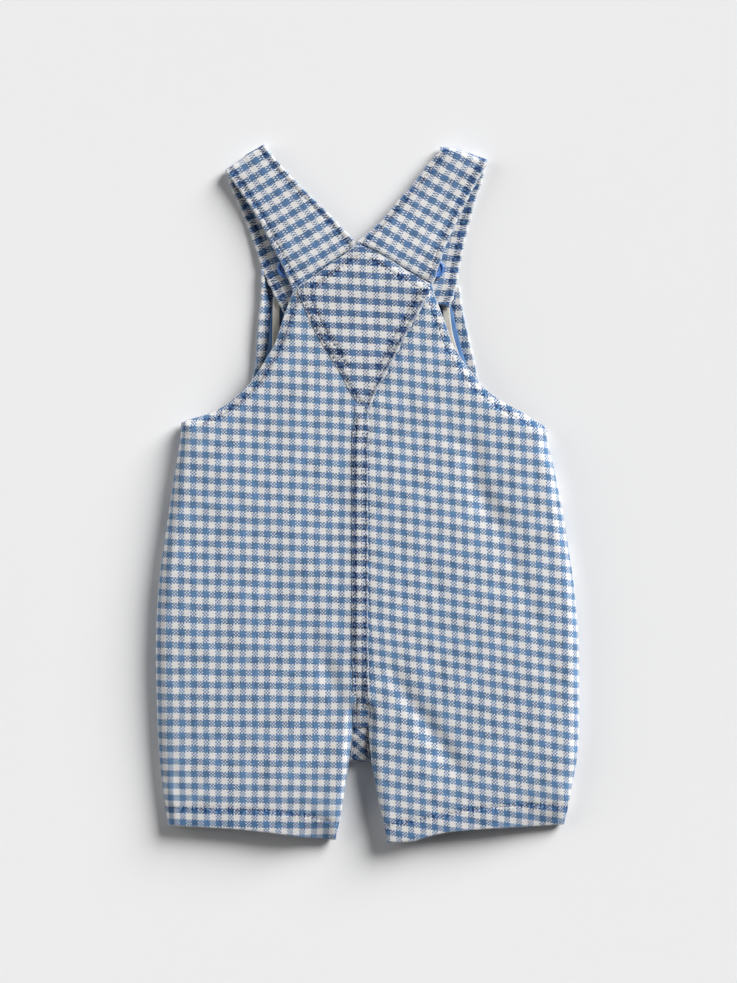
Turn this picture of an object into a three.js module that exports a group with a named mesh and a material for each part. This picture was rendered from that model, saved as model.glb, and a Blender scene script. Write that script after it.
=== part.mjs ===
// Baby shortalls in gingham cloth, lying face down and flat, in millimetres with +Z up.
// The front lies on the surface, the back lies on the front, and each strap turns over at the shoulder.
// x runs from the left side seam to the right one as seen from above, and y from the hems to the shoulders.
import * as THREE from 'three';

// Thickness of each kind of cloth, and the gap between sewn pieces
const BODY_WALL = 1.2;
const PATCH_WALL = 1.0;
const STRAP_WALL = 1.8;
const SEAM_GAP = 0.3;
const PATCH_GAP = 0.55;

// How far a side seam stands above the surface, and how far in the front is turned up to meet it
const SEAM_HEIGHT = 4.0;
const FRONT_ROLL = 5.0;

// Height of the crowned back along the body, and how much lower it is at the widest part of the sides
const CROWN = table(['y', 'height'], [
  [-209, 10.5], [-195, 11.5], [-175, 13.0], [-150, 14.2], [-110, 15.6],
  [-60, 16.4], [0, 16.2], [40, 15.4], [80, 14.8], [120, 14.2], [150, 13.4],
]);
const HALF_WIDTH = 127;
const SIDE_FALL = 3.0;

// Outer edge of each back panel: side seam, armhole, then the sloped top edge.
// lift is the edge's height, roll is how far in the cloth is rounded, soft is 1 for a bevel with no round edge.
const LEFT_EDGE = table(['y', 'x', 'lift', 'roll', 'soft'], [
  [-199.2, -119.8, 4.0, 7, 0], [-184.5, -122.0, 4.0, 7, 0], [-160.5, -124.8, 4.0, 8, 0],
  [-124.5, -126.6, 4.0, 8, 0], [-94.5, -127.2, 4.0, 8, 0], [-58.5, -125.6, 4.0, 8, 0],
  [-34.5, -122.8, 4.0, 8, 0], [-10.5, -119.2, 4.0, 8, 0], [13.5, -115.6, 4.0, 8, 0],
  [30.0, -112.8, 4.0, 8, 0], [39.3, -111.3, 4.0, 8, 0], [43.5, -100.5, 5.4, 8, 0.1],
  [48.3, -90.9, 7.0, 8, 0.2], [53.1, -83.7, 8.2, 8, 0.3], [59.7, -76.5, 9.2, 7, 0.3],
  [66.3, -69.9, 9.9, 7, 0.3], [74.1, -64.5, 10.4, 6, 0.4], [81.9, -59.7, 10.8, 6, 0.5],
  [89.1, -55.5, 11.0, 6, 0.5], [98.1, -52.5, 11.2, 6, 0.5], [107.1, -49.5, 11.6, 6, 0.6],
  [116.7, -45.9, 12.1, 6, 0.8], [121.2, -44.1, 12.4, 6, 1], [128.1, -34.5, 12.6, 6, 1],
  [138.3, -20.1, 12.8, 6, 1], [143.7, -12.3, 12.9, 6, 1], [149.0, -6.3, 13.0, 6, 1],
]);
const RIGHT_EDGE = table(['y', 'x', 'lift', 'roll', 'soft'], [
  [-199.2, 117.9, 4.0, 7, 0], [-190.5, 120.3, 4.0, 7, 0], [-178.5, 122.4, 4.0, 8, 0],
  [-154.5, 126.4, 4.0, 8, 0], [-124.5, 127.2, 4.0, 8, 0], [-94.5, 126.9, 4.0, 8, 0],
  [-58.5, 124.4, 4.0, 8, 0], [-34.5, 120.9, 4.0, 8, 0], [-10.5, 117.0, 4.0, 8, 0],
  [13.5, 112.2, 4.0, 8, 0], [30.0, 108.4, 4.0, 8, 0], [39.3, 106.5, 4.0, 8, 0],
  [43.5, 99.3, 5.4, 8, 0.1], [48.3, 90.9, 7.0, 8, 0.2], [54.3, 79.5, 8.4, 8, 0.3],
  [63.3, 68.7, 9.7, 7, 0.3], [72.9, 61.5, 10.3, 6, 0.4], [81.3, 55.5, 10.8, 6, 0.5],
  [89.7, 50.7, 11.0, 6, 0.5], [99.9, 47.1, 11.2, 6, 0.5], [109.5, 43.5, 11.6, 6, 0.6],
  [115.5, 41.1, 12.0, 6, 0.8], [124.5, 38.1, 12.4, 6, 1], [126.9, 34.0, 12.5, 6, 1],
  [133.5, 22.5, 12.7, 6, 1], [140.7, 11.1, 12.8, 6, 1], [149.0, -6.3, 13.0, 6, 1],
]);

// Centre back: the seam, the slot that holds the gusset, then the two inner leg seams.
// half is half the distance between the panels, pull is how far the cloth goes down to the seam's height.
const BACK_CENTRE = table(['y', 'centre', 'half', 'pull', 'soft'], [
  [-208.8, -2.9, 16.4, 1, 0], [-196.5, -2.9, 13.7, 1, 0], [-184.5, -3.3, 11.1, 1, 0],
  [-172.5, -3.8, 8.9, 1, 0], [-161.7, -4.3, 6.8, 0.95, 0], [-154.5, -4.4, 6.0, 0.85, 0.2],
  [-145.5, -4.3, 5.1, 0.7, 0.5], [-136, -4.1, 4.7, 0.52, 0.8], [-131, -4.0, 4.4, 0.42, 1],
  [-126, -4.0, 0.15, 0.33, 1], [-115, -4.2, 0.15, 0.2, 1], [-100, -4.5, 0.15, 0.08, 1],
  [-80, -4.7, 0.15, 0, 1], [25, -4.8, 0.15, 0, 1], [48, -3.6, 0.15, 0, 1], [149, -6.3, 0.15, 0, 1],
]);
const INNER_ROLL = 10;

// Centre front: the same inner leg seams, closed above the gusset
const FRONT_CENTRE = table(['y', 'centre', 'half', 'pull', 'soft'], [
  [-208.8, -2.9, 16.4, 1, 0], [-196.5, -2.9, 13.7, 1, 0], [-184.5, -3.3, 11.1, 1, 0],
  [-172.5, -3.8, 8.9, 1, 0], [-161.7, -4.3, 6.8, 0.9, 0], [-154.5, -4.4, 6.0, 0.5, 0.3],
  [-149.5, -4.4, 5.4, 0.1, 1], [-145.5, -4.4, 0.15, 0, 1], [36, -4.4, 0.15, 0, 1],
]);

// Drop of each leg hem below the outer corner, from the outer seam (0) to the inner seam (1)
const HEM_CORNER = -199.2;
const LEFT_HEM = table(['part', 'drop'], [
  [0, 0], [0.2, 0.9], [0.4, 2.2], [0.6, 4.2], [0.8, 7.0], [0.92, 8.3], [1, 8.7],
]);
const RIGHT_HEM = table(['part', 'drop'], [
  [0, 0], [0.2, 0.9], [0.4, 1.7], [0.55, 2.8], [0.66, 4.0], [0.77, 6.6], [0.88, 9.6], [1, 9.9],
]);
const CROTCH = -161.7;
const ARMHOLE_FOOT = 39.3;

// The largest creases, as soft troughs: a path, its depth and its half width
const CREASES = [
  table(['x', 'y', 'depth', 'width'], [
    [46.5, 43.5, 0, 7], [60.9, 25.5, 1.2, 7], [65.1, 0, 1.3, 7], [80.1, -20.7, 1.0, 8], [79.5, -64.5, 0, 8],
  ]),
  table(['x', 'y', 'depth', 'width'], [
    [11.1, -104.1, 0, 6], [30.3, -129.3, 1.3, 6], [39.3, -144.3, 1.5, 7], [47.1, -158.7, 1.2, 6],
    [57.3, -171.9, 0, 6],
  ]),
  table(['x', 'y', 'depth', 'width'], [
    [-34.0, -84.0, 0, 5], [-27.0, -101.0, 0.9, 5], [-18.0, -121.0, 0.8, 5], [-14.0, -150.0, 0, 5],
  ]),
];

// Where the rows and columns of each panel lie. A column is its part of the way from the outer seam.
const LEG_ROWS = [0, 0.1, 0.3, 0.55, 0.8];
const BACK_ROWS = [
  CROTCH, -154.5, -145.5, -140, -136, -131, -126, -115, -100, -82, -62, -40, -20, 0, 16, 28, 35, ARMHOLE_FOOT,
  43.5, 48.3, 53.1, 59.7, 66.3, 74.1, 82, 90, 99, 108, 116, 121.2, 126.5, 133.5, 140.7, 144.5, 147.2,
];
const FRONT_ROWS = [CROTCH, -154.5, -149.5, -145.5, -125, -100, -70, -35, 0, 20, 36];
const BACK_COLUMNS = [0, 0.008, 0.028, 0.064, 0.13, 0.26, 0.42, 0.58, 0.74, 0.86, 0.94, 0.982, 1];
const FRONT_COLUMNS = [0, 0.005, 0.018, 0.047, 0.2, 0.5, 0.8, 0.953, 0.982, 0.995, 1];

// Yoke: a kite sewn on the back, from its lowest point up to the sloped top edges
const YOKE_COLUMNS = [0, 0.03, 0.07, 0.14, 0.3, 0.5, 0.7, 0.86, 0.93, 0.97, 1];
const YOKE = table(['y', 'left', 'right'], [
  [48.6, -0.8, 0.8], [51.3, -2.9, 1.8], [58.5, -9.3, 4.6], [72.3, -16.5, 12.0], [89.7, -27.3, 20.8],
  [103.5, -34.5, 28.3], [110, -37.4, 32.2], [116, -39.4, 35.2], [121.2, -41.4, 36.8], [126.5, -35.8, 33.6],
  [133.5, -26.4, 21.4], [140.7, -15.8, 9.8], [144.5, -10.5, 3.4], [147.2, -7.2, -2.2],
]);

// Flat-felled strip over the centre-back seam
const SEAM_ROWS = [
  -131, -126, -115, -100, -82, -62, -40, -20, 0, 16, 28, ARMHOLE_FOOT, 47.8,
];
const SEAM_HALF = 4.6;

// Places across a narrow strip, from its left edge (-1) to its right one (1)
const STRIP_COLUMNS = [-1, -0.5, 0, 0.5, 1];

// Gusset between the legs: over the seam, then down and under in an arc
const GUSSET_TOP = table(['y', 'half'], [
  [-127.6, 1.0], [-131, 4.0], [-136, 4.3], [-140, 4.5], [-145.5, 4.7], [-150, 5.2], [-154.5, 5.6],
]);
const GUSSET_TURN = { y: -156.6, reach: 5.2, height: 2.9, half: 5.8 };
const GUSSET_ANGLES = [42, 20, 0, -25, -55, -90];
const GUSSET_END = { y: -151.5, half: 5.0 };

// Bib: its two sides from the waist up, with each edge's height, and where its top edge meets each side
const BIB_LEFT = table(['y', 'x', 'lift'], [
  [36.3, -111.8, 4], [38.7, -111.3, 4], [41.1, -97.5, 2.4], [47.7, -85.5, 0.9], [54.3, -76.5, 0.3],
  [62.7, -70.5, 0.3], [72.3, -67.5, 0.3], [78.3, -66.6, 0.3], [91.5, -65.7, 0.3], [106.5, -64.5, 0.3],
  [118.5, -63.3, 0.3], [133.2, -63.3, 0.3],
]);
const BIB_RIGHT = table(['y', 'x', 'lift'], [
  [36.3, 107.1, 4], [38.7, 106.5, 4], [41.7, 92.7, 2.4], [48.3, 82.5, 0.9], [54.3, 74.7, 0.3],
  [60.9, 68.7, 0.3], [67.5, 65.7, 0.3], [79.5, 63.3, 0.3], [86.7, 61.5, 0.3], [92.7, 60.3, 0.3],
  [100.5, 58.5, 0.3], [106.5, 57.3, 0.3], [115.5, 55.5, 0.3], [123.3, 54.9, 0.3],
]);
const BIB_TOP = { left: 133.2, right: 123.3 };
const BIB_ROWS = [37, 39, 41.4, 47.9, 54.3, 61.8, 70, 79, 92, 106, 123.3];
const BIB_COLUMNS = [0, 0.006, 0.02, 0.045, 0.2, 0.5, 0.8, 0.955, 0.98, 0.994, 1];

// Facing inside the bib, within its side hems, and the two tapes that finish it
const FACING_LEFT = table(['y', 'x'], [
  [50, -70.0], [70.5, -62.5], [82.5, -60.9], [88.5, -59.1], [100.5, -58.5], [109.5, -57.3], [119, -56.4],
]);
const FACING_RIGHT = table(['y', 'x'], [
  [50, 70.0], [70.5, 60.9], [78.3, 58.5], [84.3, 56.7], [91.5, 54.9], [98.7, 53.1], [106.5, 51.3],
  [113.1, 49.5], [119, 48.6],
]);
const FACING_ROWS = [50, 70.5, 80, 90, 100.5, 110, 118];
const FACING_COLUMNS = [0, 0.5, 1];
const TAPE_COLUMNS = [0, 1];
const TAPE_LEFT = table(['y', 'left', 'right'], [
  [70.5, -58.4, -54.8], [88.5, -56.8, -53.2], [105, -56.7, -53.1], [117, -56.3, -52.7],
]);
const TAPE_RIGHT = table(['y', 'left', 'right'], [
  [70.5, 54.9, 58.5], [85, 50.2, 53.8], [98, 46.7, 50.3], [113.4, 45.0, 48.6],
]);

// Straps: both edges of the back part, from the shoulder fold down to where it is sewn under the top
// edge, and both edges of the front part, from the fold down to its free end, with its height
const STRAP_LEFT_BACK = table(['leftX', 'leftY', 'rightX', 'rightY'], [
  [-85.3, 194.9, -62.7, 208.8], [-77.7, 183.9, -53.1, 196.5], [-70.5, 173.1, -42.9, 185.7],
  [-63.3, 161.4, -32.7, 175.5], [-56.7, 148.5, -23.1, 165.9], [-50.1, 135.9, -15.3, 157.5],
  [-44.4, 122.1, -8.9, 150.5], [-41.0, 115.6, -7.4, 145.2],
]);
const STRAP_LEFT_FRONT = table(['leftX', 'leftY', 'rightX', 'rightY', 'height'], [
  [-85.3, 194.9, -62.7, 208.8, 0], [-81.9, 185.7, -58.1, 196.2, 0], [-76.5, 173.1, -52.7, 183.0, 0.3],
  [-68.1, 151.5, -44.3, 161.4, 1.2], [-62.7, 134.7, -38.9, 144.6, 2.5], [-56.1, 120.3, -32.3, 130.2, 4.2],
  [-48.3, 105.9, -24.5, 115.8, 4.6],
]);
const STRAP_RIGHT_BACK = table(['leftX', 'leftY', 'rightX', 'rightY'], [
  [45.3, 208.8, 71.5, 200.1], [37.5, 197.7, 65.1, 186.9], [28.5, 185.7, 59.7, 176.7],
  [18.9, 174.9, 54.9, 167.1], [9.9, 164.1, 50.1, 156.9], [1.5, 155.7, 45.3, 145.5],
  [-5.7, 148.6, 39.3, 127.3], [-5.0, 144.6, 37.3, 121.5],
]);
const STRAP_RIGHT_FRONT = table(['leftX', 'leftY', 'rightX', 'rightY', 'height'], [
  [45.3, 208.8, 71.5, 200.1, 0], [43.3, 194.8, 68.1, 187.5, 0], [38.5, 179.6, 63.3, 172.5, 0.3],
  [33.1, 158.6, 57.9, 151.5, 1.2], [30.1, 143.6, 54.9, 136.5, 2.4], [27.2, 128.7, 52.5, 122.7, 3.8],
  [24.4, 117.8, 48.9, 111.9, 4.6],
]);
const FOLD_RADIUS = 3.7;
const FOLD_ANGLES = [90, 60, 30, 0, -30, -60, -90];
const STRAP_COLUMNS = [0, 0.25, 0.5, 0.75, 1];
const TUCKED_ROWS = 2;
const TUCK_GAP = 1.0;

// Button sewn on the inner face of each strap's front part
const BUTTON = { radius: 5.8, rim: 1.3, thickness: 2.4, dish: 0.7, edge: 0.5, sides: 24 };

// Place of each button on its strap: part of the way from one row of the front part to the next, and across
const SEAT_LEFT = { row: 4, part: 0.38, across: 0.5 };
const SEAT_RIGHT = { row: 4, part: 0.45, across: 0.46 };

// Cloth colours
const GINGHAM = new THREE.MeshStandardMaterial({ color: 0x9fb2cc, roughness: 0.9, metalness: 0 });
const CHAMBRAY = new THREE.MeshStandardMaterial({ color: 0x5b86b5, roughness: 0.9, metalness: 0 });
const TAPE = new THREE.MeshStandardMaterial({ color: 0xd9d4cb, roughness: 0.9, metalness: 0 });
const PLASTIC = new THREE.MeshStandardMaterial({ color: 0x4d79c4, roughness: 0.4, metalness: 0 });

// Short rows become objects whose keys are the column names.
function table(columns, rows) {
  return rows.map((row) => Object.fromEntries(columns.map((name, i) => [name, row[i]])));
}

// Slope of one column at a row, kept at 0 where the column turns back, so that a curve never overshoots.
function slopeAt(rows, key, name, i) {
  const step = (a, b) => (rows[b][name] - rows[a][name]) / (rows[b][key] - rows[a][key]);
  if (i === 0) return step(0, 1);
  if (i === rows.length - 1) return step(i - 1, i);
  const before = step(i - 1, i);
  const after = step(i, i + 1);
  return before * after <= 0 ? 0 : (2 * before * after) / (before + after);
}

// Value of one column where the key column has the given value, on a smooth curve through the rows.
function valueAt(rows, key, at, name) {
  if (at <= rows[0][key]) return rows[0][name];
  const next = rows.findIndex((row) => row[key] >= at);
  if (next < 0) return rows[rows.length - 1][name];
  const a = rows[next - 1];
  const b = rows[next];
  const span = b[key] - a[key];
  const t = (at - a[key]) / span;
  const leaving = slopeAt(rows, key, name, next - 1) * span;
  const arriving = slopeAt(rows, key, name, next) * span;
  const rise = t * t * (3 - 2 * t);
  return a[name] + (b[name] - a[name]) * rise
    + leaving * t * (1 - t) * (1 - t) - arriving * t * t * (1 - t);
}

// Nearest place on a path of straight steps, with the path's columns there and the distance to it.
function nearestOn(path, x, y) {
  let best = { distance: Infinity };
  for (let i = 0; i + 1 < path.length; i += 1) {
    const a = path[i];
    const b = path[i + 1];
    const dx = b.x - a.x;
    const dy = b.y - a.y;
    const along = ((x - a.x) * dx + (y - a.y) * dy) / (dx * dx + dy * dy);
    const t = THREE.MathUtils.clamp(along, 0, 1);
    const distance = Math.hypot(x - a.x - t * dx, y - a.y - t * dy);
    if (distance < best.distance) best = { a, b, t, distance };
  }
  const { a, b, t, distance } = best;
  const here = Object.fromEntries(Object.keys(a).map((name) => [name, a[name] + (b[name] - a[name]) * t]));
  return { ...here, distance };
}

// Rounding of the cloth near an edge: 0 on the edge and 1 past the roll, between a round edge and a bevel.
function rounding(distance, roll, soft) {
  const t = Math.min(distance / roll, 1);
  const round = Math.sqrt(1 - (1 - t) * (1 - t));
  const bevel = 0.5 - 0.5 * Math.cos(Math.PI * t);
  return round + (bevel - round) * soft;
}

// The inner edge of the left (-1) or right (1) panel, as a path with the columns that the height needs
function innerPath(centre, side) {
  return centre.map(({ y, centre: x, half, pull, soft }) => (
    { x: x + side * half, y, lift: SEAM_HEIGHT, roll: INNER_ROLL, pull, soft }
  ));
}

const PANELS = {
  left: { side: -1, edge: LEFT_EDGE, hem: LEFT_HEM },
  right: { side: 1, edge: RIGHT_EDGE, hem: RIGHT_HEM },
};
for (const panel of Object.values(PANELS)) {
  panel.outer = panel.edge.map((row) => ({ ...row, pull: 1 }));
  panel.backInner = innerPath(BACK_CENTRE, panel.side);
  panel.frontInner = innerPath(FRONT_CENTRE, panel.side);
}

// Height of the back's outer face: a crown, pulled down to each edge's height and dented by the creases
function backHeight(panel, x, y) {
  let z = valueAt(CROWN, 'y', y, 'height') - SIDE_FALL * (x / HALF_WIDTH) ** 2;
  for (const crease of CREASES) {
    const near = nearestOn(crease, x, y);
    z -= near.depth * Math.exp(-((near.distance / near.width) ** 2));
  }
  for (const path of [panel.outer, panel.backInner]) {
    const near = nearestOn(path, x, y);
    z += (near.lift - z) * near.pull * (1 - rounding(near.distance, near.roll, near.soft));
  }
  return z;
}

// Height of the front's lower face: flat on the surface, and turned up to the seams
function frontHeight(panel, x, y) {
  let z = 0;
  for (const path of [panel.outer, panel.frontInner]) {
    const near = nearestOn(path, x, y);
    z = Math.max(z, (near.lift - SEAM_GAP) * near.pull * (1 - rounding(near.distance, FRONT_ROLL, near.soft)));
  }
  return z;
}

// Inner edge of a panel at a height along the body
function innerEdge(panel, centre, y) {
  return valueAt(centre, 'y', y, 'centre') + panel.side * valueAt(centre, 'y', y, 'half');
}

// Grid of points on a panel: rows up the body, columns from the outer edge to the inner one
function panelGrid(panel, centre, bodyRows, columns, heightAt) {
  const place = (y, part) => {
    const outer = valueAt(panel.edge, 'y', y, 'x');
    const x = outer + (innerEdge(panel, centre, y) - outer) * part;
    return new THREE.Vector3(x, y, heightAt(panel, x, y));
  };
  const legRows = LEG_ROWS.map((rise) => columns.map((part) => {
    const hem = HEM_CORNER - valueAt(panel.hem, 'part', part, 'drop');
    return place(hem + (CROTCH - hem) * rise, part);
  }));
  return [...legRows, ...bodyRows.map((y) => columns.map((part) => place(y, part)))];
}

// The point that would follow a row's edge point: a round edge turns back under itself, a closed seam
// meets its mirror image, and a cut edge has none.
const BEYOND = {
  round: (edge, inside) => new THREE.Vector3(inside.x, inside.y, 2 * edge.z - inside.z),
  seam: (edge, inside) => new THREE.Vector3(2 * edge.x - inside.x, inside.y, inside.z),
  cut: (edge) => edge,
};
const CUT_EDGES = () => ({ first: 'cut', last: 'cut' });

// Normal of a grid at one of its points, turned to the same side all over by the sign
function gridNormal(grid, r, c, sign, edges) {
  const row = grid[r];
  const end = row.length - 1;
  const before = c > 0 ? row[c - 1] : BEYOND[edges.first](row[0], row[1]);
  const after = c < end ? row[c + 1] : BEYOND[edges.last](row[end], row[end - 1]);
  const across = after.clone().sub(before);
  const up = grid[Math.min(r + 1, grid.length - 1)][c].clone().sub(grid[Math.max(r - 1, 0)][c]);
  return across.cross(up).normalize().multiplyScalar(sign);
}

// The grid moved along its own normals by a distance. edgesOf says how each row's two ends go on.
function offsetGrid(grid, distance, sign, edgesOf = CUT_EDGES) {
  return grid.map((row, r) => {
    const edges = edgesOf(row);
    return row.map((point, c) => point.clone().addScaledVector(gridNormal(grid, r, c, sign, edges), distance));
  });
}

// Closed solid between two grids of the same size: two faces and four rims
function shellBetween(outer, inner) {
  const rows = outer.length;
  const columns = outer[0].length;
  const positions = [...outer.flat(), ...inner.flat()].flatMap((p) => [p.x, p.y, p.z]);
  const at = (r, c, layer) => layer * rows * columns + r * columns + c;
  const index = [];
  const quad = (a, b, c, d) => index.push(a, b, c, a, c, d);
  for (let r = 0; r + 1 < rows; r += 1) {
    for (let c = 0; c + 1 < columns; c += 1) {
      quad(at(r, c, 0), at(r, c + 1, 0), at(r + 1, c + 1, 0), at(r + 1, c, 0));
      quad(at(r, c, 1), at(r + 1, c, 1), at(r + 1, c + 1, 1), at(r, c + 1, 1));
    }
    quad(at(r, 0, 0), at(r + 1, 0, 0), at(r + 1, 0, 1), at(r, 0, 1));
    quad(at(r + 1, columns - 1, 0), at(r, columns - 1, 0), at(r, columns - 1, 1), at(r + 1, columns - 1, 1));
  }
  for (let c = 0; c + 1 < columns; c += 1) {
    quad(at(0, c + 1, 0), at(0, c, 0), at(0, c, 1), at(0, c + 1, 1));
    quad(at(rows - 1, c, 0), at(rows - 1, c + 1, 0), at(rows - 1, c + 1, 1), at(rows - 1, c, 1));
  }
  const geometry = new THREE.BufferGeometry();
  geometry.setAttribute('position', new THREE.Float32BufferAttribute(positions, 3));
  geometry.setIndex(signedVolume(positions, index) > 0 ? index : index.toReversed());
  return geometry;
}

// Six times the volume enclosed by the triangles, below 0 where they face inwards
function signedVolume(positions, index) {
  const corner = (i) => new THREE.Vector3().fromArray(positions, 3 * i);
  let total = 0;
  for (let i = 0; i < index.length; i += 3) {
    total += corner(index[i]).dot(corner(index[i + 1]).cross(corner(index[i + 2])));
  }
  return total;
}

// The panel on whose side of the centre-back seam a place lies
function panelAt(x, y) {
  return x < valueAt(BACK_CENTRE, 'y', y, 'centre') ? PANELS.left : PANELS.right;
}

function onBack(x, y) {
  return new THREE.Vector3(x, y, backHeight(panelAt(x, y), x, y));
}

// Side seams and inner leg seams are round edges, the armhole and the top edge are cut ones.
function panelEdges(row) {
  const { y } = row[0];
  return { first: y <= ARMHOLE_FOOT ? 'round' : 'cut', last: y <= CROTCH ? 'round' : 'seam' };
}

function backPanel(panel) {
  const grid = panelGrid(panel, BACK_CENTRE, BACK_ROWS, BACK_COLUMNS, backHeight);
  return shellBetween(grid, offsetGrid(grid, -BODY_WALL, -panel.side, panelEdges));
}

function frontPanel(panel) {
  const grid = panelGrid(panel, FRONT_CENTRE, FRONT_ROWS, FRONT_COLUMNS, frontHeight);
  return shellBetween(grid, offsetGrid(grid, BODY_WALL, -panel.side, panelEdges));
}

// A piece sewn on the back: the back's own points, moved out by the gap and then by the wall
function backPatch(grid) {
  return shellBetween(
    offsetGrid(grid, PATCH_GAP + PATCH_WALL, 1),
    offsetGrid(grid, PATCH_GAP, 1),
  );
}

function yoke() {
  return backPatch(YOKE.map(({ y, left, right }) => (
    YOKE_COLUMNS.map((part) => onBack(left + (right - left) * part, y))
  )));
}

function seatSeam() {
  return backPatch(SEAM_ROWS.map((y) => (
    STRIP_COLUMNS.map((part) => onBack(valueAt(BACK_CENTRE, 'y', y, 'centre') + part * SEAM_HALF, y))
  )));
}

function gusset() {
  const rowAt = (y, z, half) => STRIP_COLUMNS.map((part) => (
    new THREE.Vector3(valueAt(BACK_CENTRE, 'y', Math.max(y, CROTCH), 'centre') + part * half, y, z)
  ));
  const seamHeightAt = (y) => backHeight(PANELS.left, innerEdge(PANELS.left, BACK_CENTRE, y), y);
  const top = GUSSET_TOP.map(({ y, half }) => rowAt(y, seamHeightAt(y), half));
  const turn = GUSSET_ANGLES.map((degrees) => {
    const angle = THREE.MathUtils.degToRad(degrees);
    const y = GUSSET_TURN.y - GUSSET_TURN.reach * Math.cos(angle);
    return rowAt(y, GUSSET_TURN.height * (1 + Math.sin(angle)), GUSSET_TURN.half);
  });
  const grid = [...top, ...turn, rowAt(GUSSET_END.y, 0, GUSSET_END.half)];
  return shellBetween(grid, offsetGrid(grid, -BODY_WALL, -1));
}

// Lower face of a sheet between two sides, with its top edge level or sloped
function flatGrid({ left, right, rows, columns, heightAt, top }) {
  const lowest = rows[0];
  const highest = rows[rows.length - 1];
  return rows.map((row) => columns.map((part) => {
    const rise = (row - lowest) / (highest - lowest);
    const y = top ? row + (top.left + (top.right - top.left) * part - highest) * rise ** 3 : row;
    const x = valueAt(left, 'y', y, 'x') * (1 - part) + valueAt(right, 'y', y, 'x') * part;
    return new THREE.Vector3(x, y, heightAt(x, y));
  }));
}

// The bib lies on the surface, but for its two lower corners, which turn up to the side seams.
function bibHeight(x, y) {
  const near = nearestOn(x < 0 ? BIB_LEFT : BIB_RIGHT, x, y);
  return (near.lift - SEAM_GAP) * (1 - rounding(near.distance, FRONT_ROLL, 0));
}

function bib() {
  const grid = flatGrid({
    left: BIB_LEFT, right: BIB_RIGHT, rows: BIB_ROWS, columns: BIB_COLUMNS, heightAt: bibHeight, top: BIB_TOP,
  });
  const edgesOf = ([{ y }]) => (y <= ARMHOLE_FOOT ? { first: 'round', last: 'round' } : CUT_EDGES());
  return shellBetween(grid, offsetGrid(grid, BODY_WALL, 1, edgesOf));
}

const FACING_HEIGHT = BODY_WALL + SEAM_GAP;
const TAPE_HEIGHT = FACING_HEIGHT + PATCH_WALL + SEAM_GAP;

function facing() {
  const grid = flatGrid({
    left: FACING_LEFT, right: FACING_RIGHT, rows: FACING_ROWS, columns: FACING_COLUMNS,
    heightAt: () => FACING_HEIGHT,
  });
  return shellBetween(grid, offsetGrid(grid, PATCH_WALL, 1));
}

function tape(rows) {
  const column = (name) => rows.map((row) => ({ y: row.y, x: row[name] }));
  const grid = flatGrid({
    left: column('left'), right: column('right'), rows: rows.map((row) => row.y), columns: TAPE_COLUMNS,
    heightAt: () => TAPE_HEIGHT,
  });
  return shellBetween(grid, offsetGrid(grid, PATCH_WALL, 1));
}

// Points across a strap between its two edges
function acrossStrap(row, heightAt) {
  return STRAP_COLUMNS.map((part) => {
    const x = row.leftX + (row.rightX - row.leftX) * part;
    const y = row.leftY + (row.rightY - row.leftY) * part;
    return new THREE.Vector3(x, y, heightAt(x, y));
  });
}

// A strap's outer and inner faces: up from under the back's top edge, round the shoulder fold, and down
// inside the bib. Rows from frontStart on are those of the front part.
function strapFaces(back, front) {
  const sewn = back.length - TUCKED_ROWS;
  const under = (x, y) => onBack(x, y).z - BODY_WALL - TUCK_GAP;
  const foldTop = 2 * FOLD_RADIUS;
  const backRows = back.slice(1).map((row, i) => acrossStrap(row, (x, y) => {
    const part = Math.min((i + 1) / sewn, 1);
    return foldTop + (under(x, y) - foldTop) * part * part;
  })).reverse();
  const out = new THREE.Vector3(back[0].leftY - back[0].rightY, back[0].rightX - back[0].leftX, 0).normalize();
  const foldRows = FOLD_ANGLES.map((degrees) => {
    const angle = THREE.MathUtils.degToRad(degrees);
    const reach = FOLD_RADIUS * (Math.cos(angle) - 1);
    return acrossStrap(back[0], () => FOLD_RADIUS * (1 + Math.sin(angle)))
      .map((point) => point.addScaledVector(out, reach));
  });
  const frontRows = front.slice(1).map((row) => acrossStrap(row, () => row.height));
  const outer = [...backRows, ...foldRows, ...frontRows];
  return { outer, inner: offsetGrid(outer, -STRAP_WALL, 1), frontStart: backRows.length + foldRows.length };
}

// Sets a button on a strap's inner face, square to the cloth and a sewing gap above it
function seatButton(mesh, { inner, frontStart }, { row, part, across }) {
  const above = inner[frontStart + row - 1];
  const below = inner[frontStart + row];
  const end = STRAP_COLUMNS.length - 1;
  const upper = above[0].clone().lerp(above[end], across);
  const lower = below[0].clone().lerp(below[end], across);
  const normal = lower.clone().sub(upper).cross(above[end].clone().sub(above[0])).normalize();
  mesh.position.copy(upper.lerp(lower, part)).addScaledVector(normal, SEAM_GAP);
  mesh.quaternion.setFromUnitVectors(new THREE.Vector3(0, 0, 1), normal);
}

// A dished button with a raised rim, standing on the strap's inner face
function button() {
  const { radius, rim, thickness, dish, edge, sides } = BUTTON;
  const profile = [
    [0, 0], [radius - edge, 0], [radius, edge], [radius, thickness - edge], [radius - edge, thickness],
    [radius - rim, thickness], [radius - rim - edge, thickness - dish], [0, thickness - dish],
  ].map(([r, z]) => new THREE.Vector2(r, z));
  return new THREE.LatheGeometry(profile, sides).rotateX(Math.PI / 2);
}

// Built pieces, named as a maker names them
const shortalls = new THREE.Group();

function add(name, geometry, material) {
  const mesh = new THREE.Mesh(geometry, material);
  mesh.name = name;
  shortalls.add(mesh);
  return mesh;
}

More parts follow.
